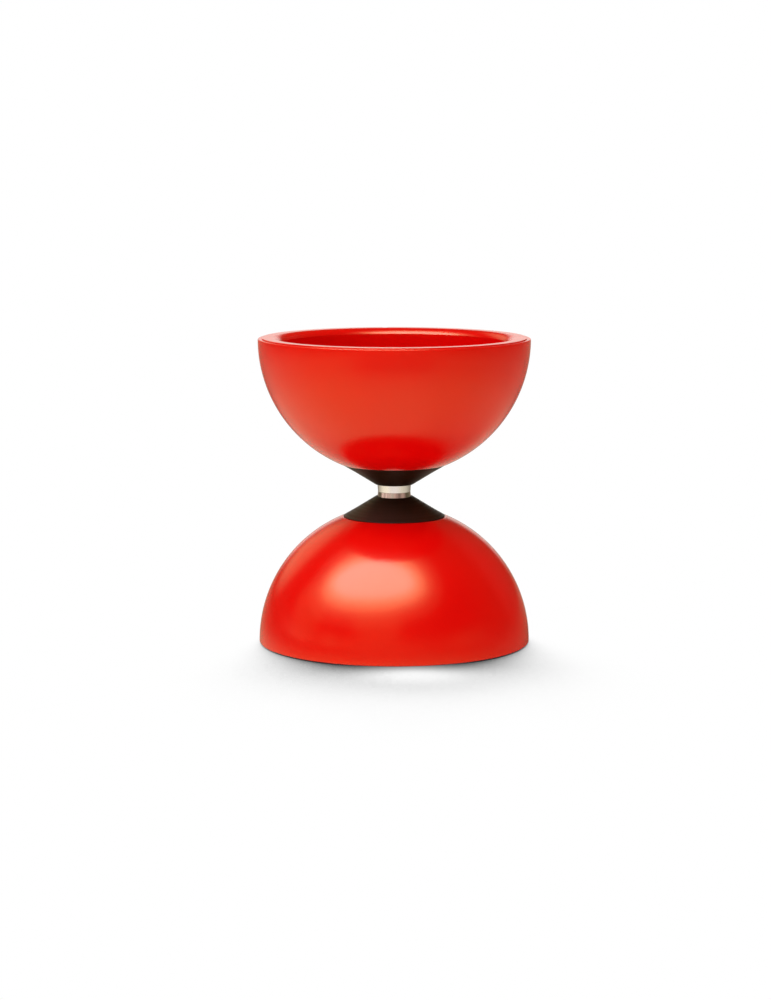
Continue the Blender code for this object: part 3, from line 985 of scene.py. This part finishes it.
@dataclass
class Roller:
    """Turned steel sleeve with a shallow string groove, a bore for the clutch and a bearing seat at each end."""

    radius: float = 7.1
    waist_radius: float = 6.88
    groove_half: float = 2.6
    groove_low: float = -0.5
    groove_edge: float = 0.3
    groove_round: float = 0.8
    end: float = 8.0
    chamfer: float = 0.3
    bearing_seat: float = 6.05
    bearing_back: float = 4.0
    clutch_seat: float = 5.0
    columns: int = 160

    def outline(self) -> np.ndarray:
        """Section of the sleeve. The groove is a shallow V, a little lower than the middle, with rounded edges."""
        end, back = self.end, self.bearing_back
        return rounded(
            (self.bearing_seat, -end, 0.1),
            (self.radius, -end, self.chamfer),
            (self.radius, -self.groove_half, self.groove_edge),
            (self.waist_radius, self.groove_low, self.groove_round),
            (self.radius, self.groove_half, self.groove_edge),
            (self.radius, end, self.chamfer),
            (self.bearing_seat, end, 0.1),
            (self.bearing_seat, back, 0.1),
            (self.clutch_seat, back, 0.1),
            (self.clutch_seat, -back, 0.1),
            (self.bearing_seat, -back, 0.1),
        )

    def build(self, finishes: Finishes) -> None:
        """Adds the sleeve."""
        surface = lathe(self.outline(), full_turn(self.columns))
        add_piece("roller_sleeve", surface, None, finishes.polished, Body.ROLLER, "roller")


@dataclass
class BallBearing:
    """Ball bearing in one end of the roller: two races, balls in a crown cage, a shield, and the shim before it."""

    back: float = 4.05
    front: float = 7.95
    inner_race: Pair = (3.1, 3.95)
    outer_race: Pair = (5.05, 5.95)
    ball_count: int = 7
    ball_radius: float = 0.72
    ball_gap: float = 0.1
    pitch_radius: float = 4.5
    shield: tuple[float, float, float, float] = (4.1, 5.15, 7.55, 7.75)
    recess: Pair = (5.25, 7.45)
    cage: Pair = (4.15, 4.85)
    cage_pocket: float = 0.8
    cage_prong: float = 5.6
    cage_back: float = 7.3
    cage_bevel: float = 0.06
    track_sweep: float = 47.0
    shim: tuple[float, float, float, float] = (3.1, 3.9, 8.1, 8.9)
    shield_round: float = 0.07
    shim_round: float = 0.12

    @property
    def middle(self) -> float:
        """Height of the ball track."""
        return (self.back + self.front) / 2

    def track(self, facing: float) -> np.ndarray:
        """Round ball track of a race: an arc about the balls' centre, a running gap wider than a ball."""
        centre, radius = (self.pitch_radius, self.middle), self.ball_radius + self.ball_gap
        return stretch(arc(centre, radius, facing + self.track_sweep, facing - self.track_sweep, 12))

    def inner(self) -> Surface:
        """Race on the axle."""
        bore, radius = self.inner_race
        outline = rounded(
            (bore, self.back, 0.15),
            (radius, self.back, 0.1),
            self.track(180.0),
            (radius, self.front, 0.1),
            (bore, self.front, 0.15),
        )
        return lathe(outline, full_turn(RING_COLUMNS))

    def outer(self) -> Surface:
        """Race in the roller, with a recess for the shield."""
        bore, radius = self.outer_race
        recess_radius, recess_back = self.recess
        outline = rounded(
            (bore, self.back, 0.1),
            (radius, self.back, 0.2),
            (radius, self.front, 0.15),
            (recess_radius, self.front, 0.05),
            (recess_radius, recess_back, 0.05),
            (bore, recess_back, 0.05),
            self.track(0.0),
        )
        return lathe(outline, full_turn(RING_COLUMNS))

    def ball(self, number: int) -> Surface:
        """Ball at its place round the axle."""
        outline = arc((0.0, 0.0), self.ball_radius, -90, 90, 18)
        outline[[0, -1], 0] = 0.0
        ball = spindle(outline, full_turn(PIN_COLUMNS))
        return placed_round(ball, number, self.ball_count, self.pitch_radius, self.middle)

    def crown(self, steps_per_ball: int = 40) -> Surface:
        """Crown cage: a ring whose lower edge rises over each ball.

        Args:
            steps_per_ball: Sections between two balls.

        Returns:
            A rectangle with bevelled corners, carried round the axle. Its lower edge is the prongs' tip, or within a
            pocket's radius of a ball, measured round the pitch circle, the upper half of a circle about the ball.
        """
        turns = full_turn(self.ball_count * steps_per_ball)
        along = from_nearest(turns, self.ball_count, self.pitch_radius)
        over = self.middle + np.sqrt(np.maximum(self.cage_pocket**2 - along**2, 0.0))
        low = np.where(along < self.cage_pocket, over, self.cage_prong)[:, None]
        (inner, outer), bevel = self.cage, self.cage_bevel
        radius = np.array([inner + bevel, outer - bevel, outer, outer, outer - bevel, inner + bevel, inner, inner])
        above = np.array([0.0, 0.0, bevel, 0.0, 0.0, 0.0, 0.0, bevel])
        back = self.cage_back - np.array([0.0, 0.0, 0.0, bevel, 0.0, 0.0, bevel, 0.0])
        at_back = np.array([0, 0, 0, 1, 1, 1, 1, 0], dtype=bool)
        height = np.where(at_back, back, low + above)
        points = np.stack([np.outer(np.cos(turns), radius), np.outer(np.sin(turns), radius), height], axis=-1)
        edge = np.full(height.size, MOULDED_EDGE)
        return Surface(points.reshape(-1, 3), [grid_faces(*height.shape)], edge)

    def build(self, half: Half, finishes: Finishes) -> None:
        """Adds the half's bearing and its shim."""
        steel, zinc = finishes.bearing, finishes.zinc
        for name, surface, finish, body, node in (
            ("race_inner", self.inner(), steel, Body.CUPS, "inner_race"),
            ("race_outer", self.outer(), steel, Body.ROLLER, "outer_race"),
            ("shield_pressing", ring(*self.shield, self.shield_round), zinc, Body.ROLLER, "bearing_shield"),
            ("shim_ring", ring(*self.shim, self.shim_round), zinc, Body.CUPS, "shim"),
            ("cage_crown", self.crown(), finishes.white_nylon, half.balls, "ball_cage"),
        ):
            add_piece(name, surface, half, finish, body, node)
        for number in range(1, self.ball_count + 1):
            add_piece(f"steel_ball_{number}", self.ball(number), half, steel, half.balls, f"ball_{number}")


@dataclass
class OneWayClutch:
    """Needle clutch in the middle of the roller: a drawn shell, a slotted cage and six needles."""

    shell_radius: float = 4.93
    shell_wall: float = 0.32
    shell_end: float = 3.9
    shell_lip: float = 3.65
    needle_count: int = 6
    needle_radius: float = 0.53
    needle_pitch: float = 3.98
    needle_half: float = 2.5
    needle_bevel: float = 0.12
    cage: Pair = (3.6, 4.45)
    cage_end: float = 3.3
    slot_width: float = 1.3
    slot_half: float = 2.65
    slot_rows: int = 9

    def shell(self) -> Surface:
        """Drawn shell with both ends turned in."""
        inner, end, lip = self.shell_radius - self.shell_wall, self.shell_end, self.shell_lip
        inside = end - self.shell_wall
        outline = rounded(
            (self.shell_radius, -end, 0.3),
            (self.shell_radius, end, 0.3),
            (lip, end, 0.08),
            (lip, inside, 0.08),
            (inner, inside, 0.12),
            (inner, -inside, 0.12),
            (lip, -inside, 0.08),
            (lip, -end, 0.08),
        )
        return lathe(outline, full_turn(RING_COLUMNS))

    def needle(self, number: int) -> Surface:
        """Needle with rounded ends at its place round the axle."""
        bevel = self.needle_bevel
        flat = self.needle_radius - bevel
        low = arc((flat, bevel - self.needle_half), bevel, -90, 0, 4)
        high = arc((flat, self.needle_half - bevel), bevel, 0, 90, 4)
        outline = np.vstack([(0.0, -self.needle_half), low, high, (0.0, self.needle_half)])
        needle = spindle(outline, full_turn(PIN_COLUMNS))
        return placed_round(needle, number, self.needle_count, self.needle_pitch, 0.0)

    def slotted_cage(self, slot_steps: int = 4, bar_steps: int = 8) -> Surface:
        """Sleeve with a straight-sided slot for each needle.

        The grid runs round the axle and along it, with lines on the slots' edges. A slot's sides are parallel, so half
        its angle is asin(half its width / radius) on each face of the sleeve. Cells inside a slot are left out, and a
        wall from face to face stands wherever a cell that is there meets one that isn't.

        Args:
            slot_steps: Cells across a slot.
            bar_steps: Cells across a bar between two slots.

        Returns:
            The closed surface.
        """
        sector = math.tau / self.needle_count
        along_slot = np.linspace(-self.slot_half, self.slot_half, self.slot_rows)
        heights = np.concatenate([[-self.cage_end], along_slot, [self.cage_end]])
        faces_of, per_sector = [], slot_steps + bar_steps
        columns, rows = self.needle_count * per_sector, heights.size
        for radius in self.cage:
            half = math.asin(self.slot_width / 2 / radius)
            slot = np.linspace(-half, half, slot_steps + 1)[:-1]
            bar = np.linspace(half, sector - half, bar_steps + 1)[:-1]
            turns = (np.arange(self.needle_count)[:, None] * sector + np.concatenate([slot, bar])).ravel()
            faces_of.append(spun(np.column_stack([np.full(rows, radius), heights]), turns))
        inner = np.arange(columns * rows).reshape(columns, rows)
        outer = inner + inner.size
        there = np.ones((columns, rows + 1), dtype=bool)
        there[:, [0, -1]] = False
        there[np.arange(columns) % per_sector < slot_steps, 2:-2] = False
        inner_next, outer_next = np.roll(inner, -1, axis=0), np.roll(outer, -1, axis=0)
        cell = there[:, 1:-1]
        skin = np.stack([outer[:, :-1], outer_next[:, :-1], outer_next[:, 1:], outer[:, 1:]], axis=-1)[cell]
        lining = np.stack([inner[:, 1:], inner_next[:, 1:], inner_next[:, :-1], inner[:, :-1]], axis=-1)[cell]
        level = np.stack([outer, outer_next, inner_next, inner], axis=-1)
        upright = np.stack([outer[:, :-1], inner[:, :-1], inner[:, 1:], outer[:, 1:]], axis=-1)
        before = np.roll(cell, 1, axis=0)
        faces = [
            skin,
            lining,
            level[there[:, :-1] & ~there[:, 1:]],
            level[~there[:, :-1] & there[:, 1:]][:, ::-1],
            upright[before & ~cell],
            upright[~before & cell][:, ::-1],
        ]
        points = np.concatenate(faces_of)
        return Surface(points, faces, np.full(len(points), MOULDED_EDGE))

    def build(self, finishes: Finishes) -> None:
        """Adds the shell, the cage and the needles."""
        steel, nylon = finishes.bearing, finishes.white_nylon
        add_piece("clutch_cup", self.shell(), None, steel, Body.ROLLER, "clutch_shell")
        add_piece("clutch_comb", self.slotted_cage(), None, nylon, Body.ROLLER, "clutch_cage")
        for number in range(1, self.needle_count + 1):
            needle = self.needle(number)
            add_piece(f"clutch_pin_{number}", needle, None, steel, Body.ROLLER, f"clutch_needle_{number}")


# Studio

# Ray Depth at a first reflection is 1 for light that is sampled, and 2 for a ray that meets the lamp.
FIRST_REFLECTION = 2.5


@dataclass(frozen=True)
class Lamp:
    """A soft oval panel that faces the toy.

    Attributes:
        name: Name of the lamp.
        azimuth: Degrees to the right of the camera's side, seen from above.
        elevation: Degrees above the floor.
        roll: Degrees that the panel is turned about the line to the toy.
        distance: Metres from the toy's middle.
        spread: Width and height for each metre of distance.
        radiance: Brightness of its face, where 1 is a white surface in the picture.
        colour: Its colour.
        shows_in_gloss: True for a lamp that only shows in first reflections, false for one that only lights.
    """

    name: str
    azimuth: float
    elevation: float
    roll: float
    distance: float
    spread: Pair
    radiance: float
    colour: Colour
    shows_in_gloss: bool

    def build(self) -> None:
        """Adds the lamp to the scene. Its power is the radiance times pi times the area."""
        light = bpy.data.lights.new(self.name, "AREA")
        light.shape = "ELLIPSE"
        light.size, light.size_y = (self.distance * share for share in self.spread)
        light.color = self.colour
        light.energy = self.radiance * math.pi * (math.pi / 4 * light.size * light.size_y)
        lamp = add_object(self.name, light)
        turns = ((self.azimuth, "Z"), (90.0 - self.elevation, "X"), (self.roll, "Z"))
        swing, tilt, roll = (Matrix.Rotation(math.radians(angle), 3, axis) for angle, axis in turns)
        facing = swing @ tilt @ roll
        lamp.location = Vector((0.0, 0.0, WAIST * MM)) + facing.col[2] * self.distance
        lamp.rotation_euler = facing.to_euler()
        lamp.visible_camera = False
        lamp.visible_glossy = self.shows_in_gloss
        lamp.visible_diffuse = not self.shows_in_gloss
        if self.shows_in_gloss:
            light.use_nodes = True
            sheet = Sheet(light.node_tree)
            depth = sheet.node("LightPath").outputs["Ray Depth"]
            first = sheet.math("LESS_THAN", depth, FIRST_REFLECTION)
            sheet.join(sheet.tree.nodes["Emission"], {"Strength": first})


PANEL = {"azimuth": -31.0, "elevation": 57.8, "roll": 14.0}
SEEN = {"shows_in_gloss": True, **PANEL}
WARM = {"colour": (1.0, 1.0, 0.86), **SEEN}
UNSEEN = {"colour": (1.0, 1.0, 1.0), "shows_in_gloss": False}
BEHIND = {"elevation": 18.0, "roll": 0.0, "distance": 1.3, "spread": (0.8, 0.8), **UNSEEN}
LAMPS = (
    Lamp("panel_core", distance=1.15, spread=(1.20, 0.62), radiance=3.2, colour=(1.0, 1.0, 2.45), **SEEN),
    Lamp("panel_face", distance=1.25, spread=(1.47, 0.83), radiance=3.2, colour=(1.0, 1.0, 1.3), **SEEN),
    Lamp("panel_edge", distance=1.35, spread=(1.76, 1.06), radiance=3.2, **WARM),
    Lamp("panel_rim", distance=1.45, spread=(2.15, 1.34), radiance=0.95, **WARM),
    Lamp("panel_haze", distance=1.55, spread=(2.8, 1.75), radiance=0.40, **WARM),
    Lamp("panel_light", distance=1.65, spread=(1.38, 0.725), radiance=3.55, **PANEL, **UNSEEN),
    Lamp("back_right", azimuth=140.0, radiance=2.1, **BEHIND),
    Lamp("back_left", azimuth=-140.0, radiance=1.0, **BEHIND),
)


@dataclass(frozen=True)
class Pale:
    """A pale surface in the room, as reflections show it.

    Attributes:
        colour: Its colour.
        side: Direction of its middle.
        edge: Cosines to that direction at which it begins and is full.
    """

    colour: Colour
    side: Triple
    edge: Pair


WALL = Pale(colour=(0.86, 0.76, 0.44), side=(-0.501, 0.772, 0.391), edge=(0.935, 0.994))
CLOTH = Pale(colour=(0.60, 0.54, 0.34), side=(-0.925, -0.065, 0.375), edge=(0.927, 0.990))
SPILL = Pale(colour=(0.64, 0.56, 0.38), side=(-0.240, -0.896, 0.375), edge=(0.90, 0.985))
BACKDROP = Pale(colour=(1.04, 1.00, 0.92), side=(0.0, 1.0, 0.0), edge=(0.93, 0.98))


@dataclass
class Studio:
    """A white floor, a dim room, one soft panel overhead, and the camera at the photograph's place.

    Attributes:
        camera_place: Place of the camera in metres.
        camera_pitch: Degrees that it looks down.
        lens: Focal length in millimetres.
        sensor: Width of the sensor in millimetres.
        sight: Furthest distance that the camera sees.
        ambient: Even light from the room.
        floor_half: Half the floor's side.
        floor_colour: Colour of the paper.
        floor_lift: Light that the paper gives back beyond its own colour.
        shadow_side: Direction that most light on the paper comes from, to the eye.
        shadow_range: Open shares towards that side at which the paper is darkest and white.
        shadow_reach: Distance over which the toy shades the paper.
        shadow_samples: Samples of the open share.
        patch_place: Middle of the painted pool of light in front of the lower cup, which stands for the light that it
            throws there.
        patch_size: Half width of that painted patch along X and Y.
        painted_patch_light: Strength of that painted light.
        front_glow: Paper in front, as reflections show it close to the toy.
        left_glow: Paper on the left, as they show it from above.
        right_glow: Paper on the right.
        front_haze: Paper in front that is seen at a grazing angle.
        side_haze: Paper on both sides that is seen so.
        glow_reach: Distances at which the paper begins to darken and is darkest.
        glow_far: Share of the glow that is left there in front, on the left and on the right.
        glow_steep: Cosines of the view on the paper at which it is all haze and all paper.
        glow_side: Direction that the light on that paper comes from.
        glow_shade: Distance over which the toy shades it.
        glow_open: Open share towards that direction at which the paper is dark.
        glow_samples: Samples of the open share.
        glow_behind: Share of the glow that is left behind the toy.
        glow_back: Parts of Y in the direction from the toy between which it falls to that share.
        glow_beside: Parts of X, on either side, between which the paper in front gives way to the sides.
        glow_turn: Parts of X between which the left gives way to the right.
        room_left: Low part of the room on the left, as reflections show it.
        room_right: Low part of the room on the right.
        room_back: Room behind the toy.
        room_top: Upper part of the room.
        room_sides: Parts of X in a direction between which the left gives way to the right.
        room_rise: Parts of Z between which the low part gives way to the upper part.
        room_depth: Parts towards behind_side between which both give way to the room behind the toy.
        behind_side: Direction of the room behind the toy.
        streak_scale: Streaks of the low part in each radian.
        streak_detail: Detail of their noise.
        streak_range: Values of the streaks' noise at which they are darkest and lightest.
        streak_light: Least and most brightness of the streaks.
        pale: Pale surfaces in the room.
    """

    camera_place: Triple = (-0.0037, -1.1355, 0.2209)
    camera_pitch: float = 8.03
    lens: float = 97.196
    sensor: float = 36.0
    sight: float = 100.0
    ambient: float = 0.356
    floor_half: float = 12.0
    floor_colour: Colour = (0.92, 0.92, 0.92)
    floor_lift: float = 0.08
    shadow_side: Triple = (-0.07, 0.998, 0.0)
    shadow_range: Pair = (0.499, 0.856)
    shadow_reach: float = 0.2
    shadow_samples: int = 40
    patch_place: Triple = (0.0068, -0.0704, 0.0)
    patch_size: Triple = (0.0215, 0.0160, 1.0)
    painted_patch_light: float = 0.68
    front_glow: Colour = (1.50, 1.42, 1.12)
    left_glow: Colour = (1.52, 1.42, 0.96)
    right_glow: Colour = (1.15, 1.08, 0.74)
    front_haze: Colour = (0.42, 0.31, 0.21)
    side_haze: Colour = (0.16, 0.13, 0.07)
    glow_reach: Pair = (0.11, 0.44)
    glow_far: Triple = (0.18, 0.58, 0.50)
    glow_steep: Pair = (0.04, 0.28)
    glow_side: Triple = (-0.262, -0.720, 0.643)
    glow_shade: float = 1.0
    glow_open: float = 0.42
    glow_samples: int = 12
    glow_behind: float = 0.72
    glow_back: Pair = (-0.2, 0.9)
    glow_beside: Pair = (0.2, 0.9)
    glow_turn: Pair = (-0.2, 0.2)
    room_left: Colour = (0.80, 0.56, 0.40)
    room_right: Colour = (0.44, 0.29, 0.20)
    room_back: Colour = (0.085, 0.07, 0.03)
    room_top: Colour = (0.015, 0.013, 0.011)
    room_sides: Pair = (-0.7, 0.5)
    room_rise: Pair = (0.05, 0.28)
    room_depth: Pair = (-0.2, 0.4)
    behind_side: Triple = (0.2, 1.0, 0.0)
    streak_scale: float = 2.2
    streak_detail: float = 3.0
    streak_range: Pair = (0.30, 0.70)
    streak_light: Pair = (0.6, 1.4)
    pale: tuple[Pale, ...] = (WALL, CLOTH, SPILL, BACKDROP)

    @staticmethod
    def open_share(sheet: Sheet, side: Triple, reach: float, samples: int) -> Socket:
        """Share of the half space towards a side that stays open over a reach, from nodes."""
        facing = sheet.node("CombineXYZ", dict(enumerate(side))).outputs[0]
        inputs = {"Distance": reach, "Normal": facing}
        return sheet.node("AmbientOcclusion", inputs, samples=samples).outputs["AO"]

    def shadow(self, sheet: Sheet, place: Socket) -> Socket:
        """Brightness of the paper to the eye, from nodes.

        Most light comes low from behind, so a point of the paper is as bright as an eased step of the share of the
        half space behind it that the toy leaves open. A painted pool of light, exp(-d * d), where d is the distance in
        patch sizes, is added in front of the lower cup for the light that it throws there.

        Args:
            sheet: Sheet of the paper's material.
            place: Place on the paper.

        Returns:
            The brightness, where 1 is white.
        """
        behind = self.open_share(sheet, self.shadow_side, self.shadow_reach, self.shadow_samples)
        soft = sheet.ramp(behind, *self.shadow_range)
        # Painted light: a bell-shaped pool in front of the lower cup, added to the paper's brightness.
        offset = sheet.vector("DIVIDE", sheet.vector("SUBTRACT", place, self.patch_place), self.patch_size)
        squared = sheet.vector("DOT_PRODUCT", offset, offset)
        bell = sheet.math("EXPONENT", sheet.math("MULTIPLY", squared, -1.0))
        lit = sheet.math("ADD", soft, sheet.math("MULTIPLY", bell, self.painted_patch_light))
        return sheet.math("MINIMUM", lit, 1.0)

    def glow(self, sheet: Sheet, place: Socket) -> Socket:
        """Colour of the paper in reflections, from nodes.

        The paper falls off by an eased step of the distance from the toy, most in front and least on the left, and a
        little towards the back. It is darker where the toy shades it: by the square of the share that is open towards
        the light, from nothing at glow_open. At a grazing view it fades into haze, by an eased step of the cosine at
        which it is seen.

        Args:
            sheet: Sheet of the paper's material.
            place: Place on the paper.

        Returns:
            The colour.
        """
        distance = sheet.vector("LENGTH", place)
        toward = sheet.node("SeparateXYZ", {0: place}).outputs
        across, along = (sheet.math("DIVIDE", toward[axis], distance) for axis in "XY")
        behind = sheet.ramp(along, *self.glow_back, 1.0, self.glow_behind)
        beside = sheet.ramp(sheet.math("ABSOLUTE", across), *self.glow_beside)
        right = sheet.ramp(across, *self.glow_turn)
        cosine = sheet.math("SUBTRACT", 1.0, sheet.node("LayerWeight", {"Blend": 0.5}).outputs["Facing"])
        far_front, far_left, far_right = self.glow_far
        far = sheet.ramp(beside, 0.0, 1.0, far_front, sheet.ramp(right, 0.0, 1.0, far_left, far_right))
        shade = sheet.math("MULTIPLY", sheet.ramp(distance, *self.glow_reach, 1.0, far), behind)
        lit = self.open_share(sheet, self.glow_side, self.glow_shade, self.glow_samples)
        lit = sheet.node("MapRange", {"Value": lit, "From Min": self.glow_open}).outputs[0]
        shade = sheet.math("MULTIPLY", shade, sheet.math("POWER", lit, 2.0))
        paper = sheet.blend(beside, self.front_glow, sheet.blend(right, self.left_glow, self.right_glow))
        haze = sheet.blend(beside, self.front_haze, self.side_haze)
        return sheet.blend(sheet.ramp(cosine, *self.glow_steep), haze, sheet.scaled(paper, shade))

    def floor_material(self) -> bpy.types.Material:
        """White paper: shaded to the eye, matt for scattered light, and a fixed glow in reflections."""
        material = bpy.data.materials.new("white_paper")
        material.use_nodes = True
        sheet = Sheet(material.node_tree)
        sheet.tree.nodes.remove(sheet.tree.nodes["Principled BSDF"])
        place = sheet.node("TexCoord").outputs["Object"]
        paper = sheet.node("BsdfDiffuse", {"Color": (*self.floor_colour, 1.0)})
        lift = sheet.node("Emission", {"Strength": self.floor_lift})
        matt = sheet.node("AddShader", {0: paper.outputs[0], 1: lift.outputs[0]})
        glow = sheet.node("Emission", {"Color": self.glow(sheet, place)})
        to_eye = sheet.node("Emission", {"Strength": self.shadow(sheet, place)})
        sheet.join(sheet.tree.nodes["Material Output"], {"Surface": sheet.by_ray(matt, glow, to_eye)})
        return material

    def floor(self) -> None:
        """Adds the floor that the toy stands on."""
        half = self.floor_half
        mesh = bpy.data.meshes.new("floor")
        corners = np.array([(-half, -half, 0.0), (half, -half, 0.0), (half, half, 0.0), (-half, half, 0.0)])
        mesh.from_pydata(corners.tolist(), [], [(0, 1, 2, 3)])
        mesh.materials.append(self.floor_material())
        floor = add_object("floor", mesh)

    def room(self, sheet: Sheet) -> Socket:
        """Colour of the room in reflections, from nodes.

        The room is streaky and brown below, and dark above and behind, with a few pale surfaces in it.

        Args:
            sheet: Sheet of the world.

        Returns:
            The colour.
        """
        direction = sheet.node("TexCoord").outputs["Generated"]
        toward = sheet.node("SeparateXYZ", {0: direction}).outputs
        turn = sheet.math("ARCTAN2", toward["X"], toward["Y"])
        streaks = sheet.streaks(turn, self.streak_scale, self.streak_detail)
        low = sheet.blend(sheet.ramp(toward["X"], *self.room_sides), self.room_left, self.room_right)
        low = sheet.scaled(low, sheet.ramp(streaks, *self.streak_range, *self.streak_light))
        low = sheet.blend(sheet.ramp(toward["Z"], *self.room_rise), low, self.room_top)
        behind = sheet.vector("DOT_PRODUCT", direction, self.behind_side)
        room = sheet.blend(sheet.ramp(behind, *self.room_depth), low, self.room_back)
        for pale in self.pale:
            near = sheet.vector("DOT_PRODUCT", direction, pale.side)
            room = sheet.blend(sheet.ramp(near, *pale.edge), room, pale.colour)
        return room

    def world(self) -> None:
        """Lights the room evenly, shows it white to the camera, and shows the studio itself in reflections."""
        world = bpy.data.worlds.new("white_room")
        world.use_nodes = True
        world.cycles.sampling_method = "NONE"
        bpy.context.scene.world = world
        sheet = Sheet(world.node_tree)
        even = sheet.join(sheet.tree.nodes["Background"], {"Color": WHITE, "Strength": self.ambient})
        seen = sheet.node("Background", {"Color": self.room(sheet), "Strength": 1.0})
        white = sheet.node("Background", {"Color": WHITE, "Strength": 1.0})
        sheet.join(sheet.tree.nodes["World Output"], {"Surface": sheet.by_ray(even, seen, white)})

    def camera(self) -> None:
        """Adds the camera at the photograph's viewing angle."""
        camera = bpy.data.cameras.new("camera")
        camera.lens = self.lens
        camera.sensor_width = self.sensor
        camera.clip_end = self.sight
        viewer = add_object("camera", camera)
        viewer.location = self.camera_place
        viewer.rotation_euler = (math.radians(90.0 - self.camera_pitch), 0.0, 0.0)
        bpy.context.scene.camera = viewer

    def build(self) -> None:
        """Adds the floor, the room, the panel and the camera."""
        self.floor()
        self.world()
        for lamp in LAMPS:
            lamp.build()
        self.camera()
        bpy.context.scene.view_settings.view_transform = "Standard"


def main() -> None:
    """Builds every sub-assembly around the frame, then the studio."""
    logging.basicConfig(level=logging.INFO, format="%(name)s: %(message)s")
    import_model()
    finishes = Finishes()
    for half in Half:
        for assembly in (Cup(), HubCone(), ClampStack(), BallBearing()):
            assembly.build(half, finishes)
    for assembly in (Axle(), Roller(), OneWayClutch()):
        assembly.build(finishes)
    Studio().build()


if __name__ == "__main__":
    main()
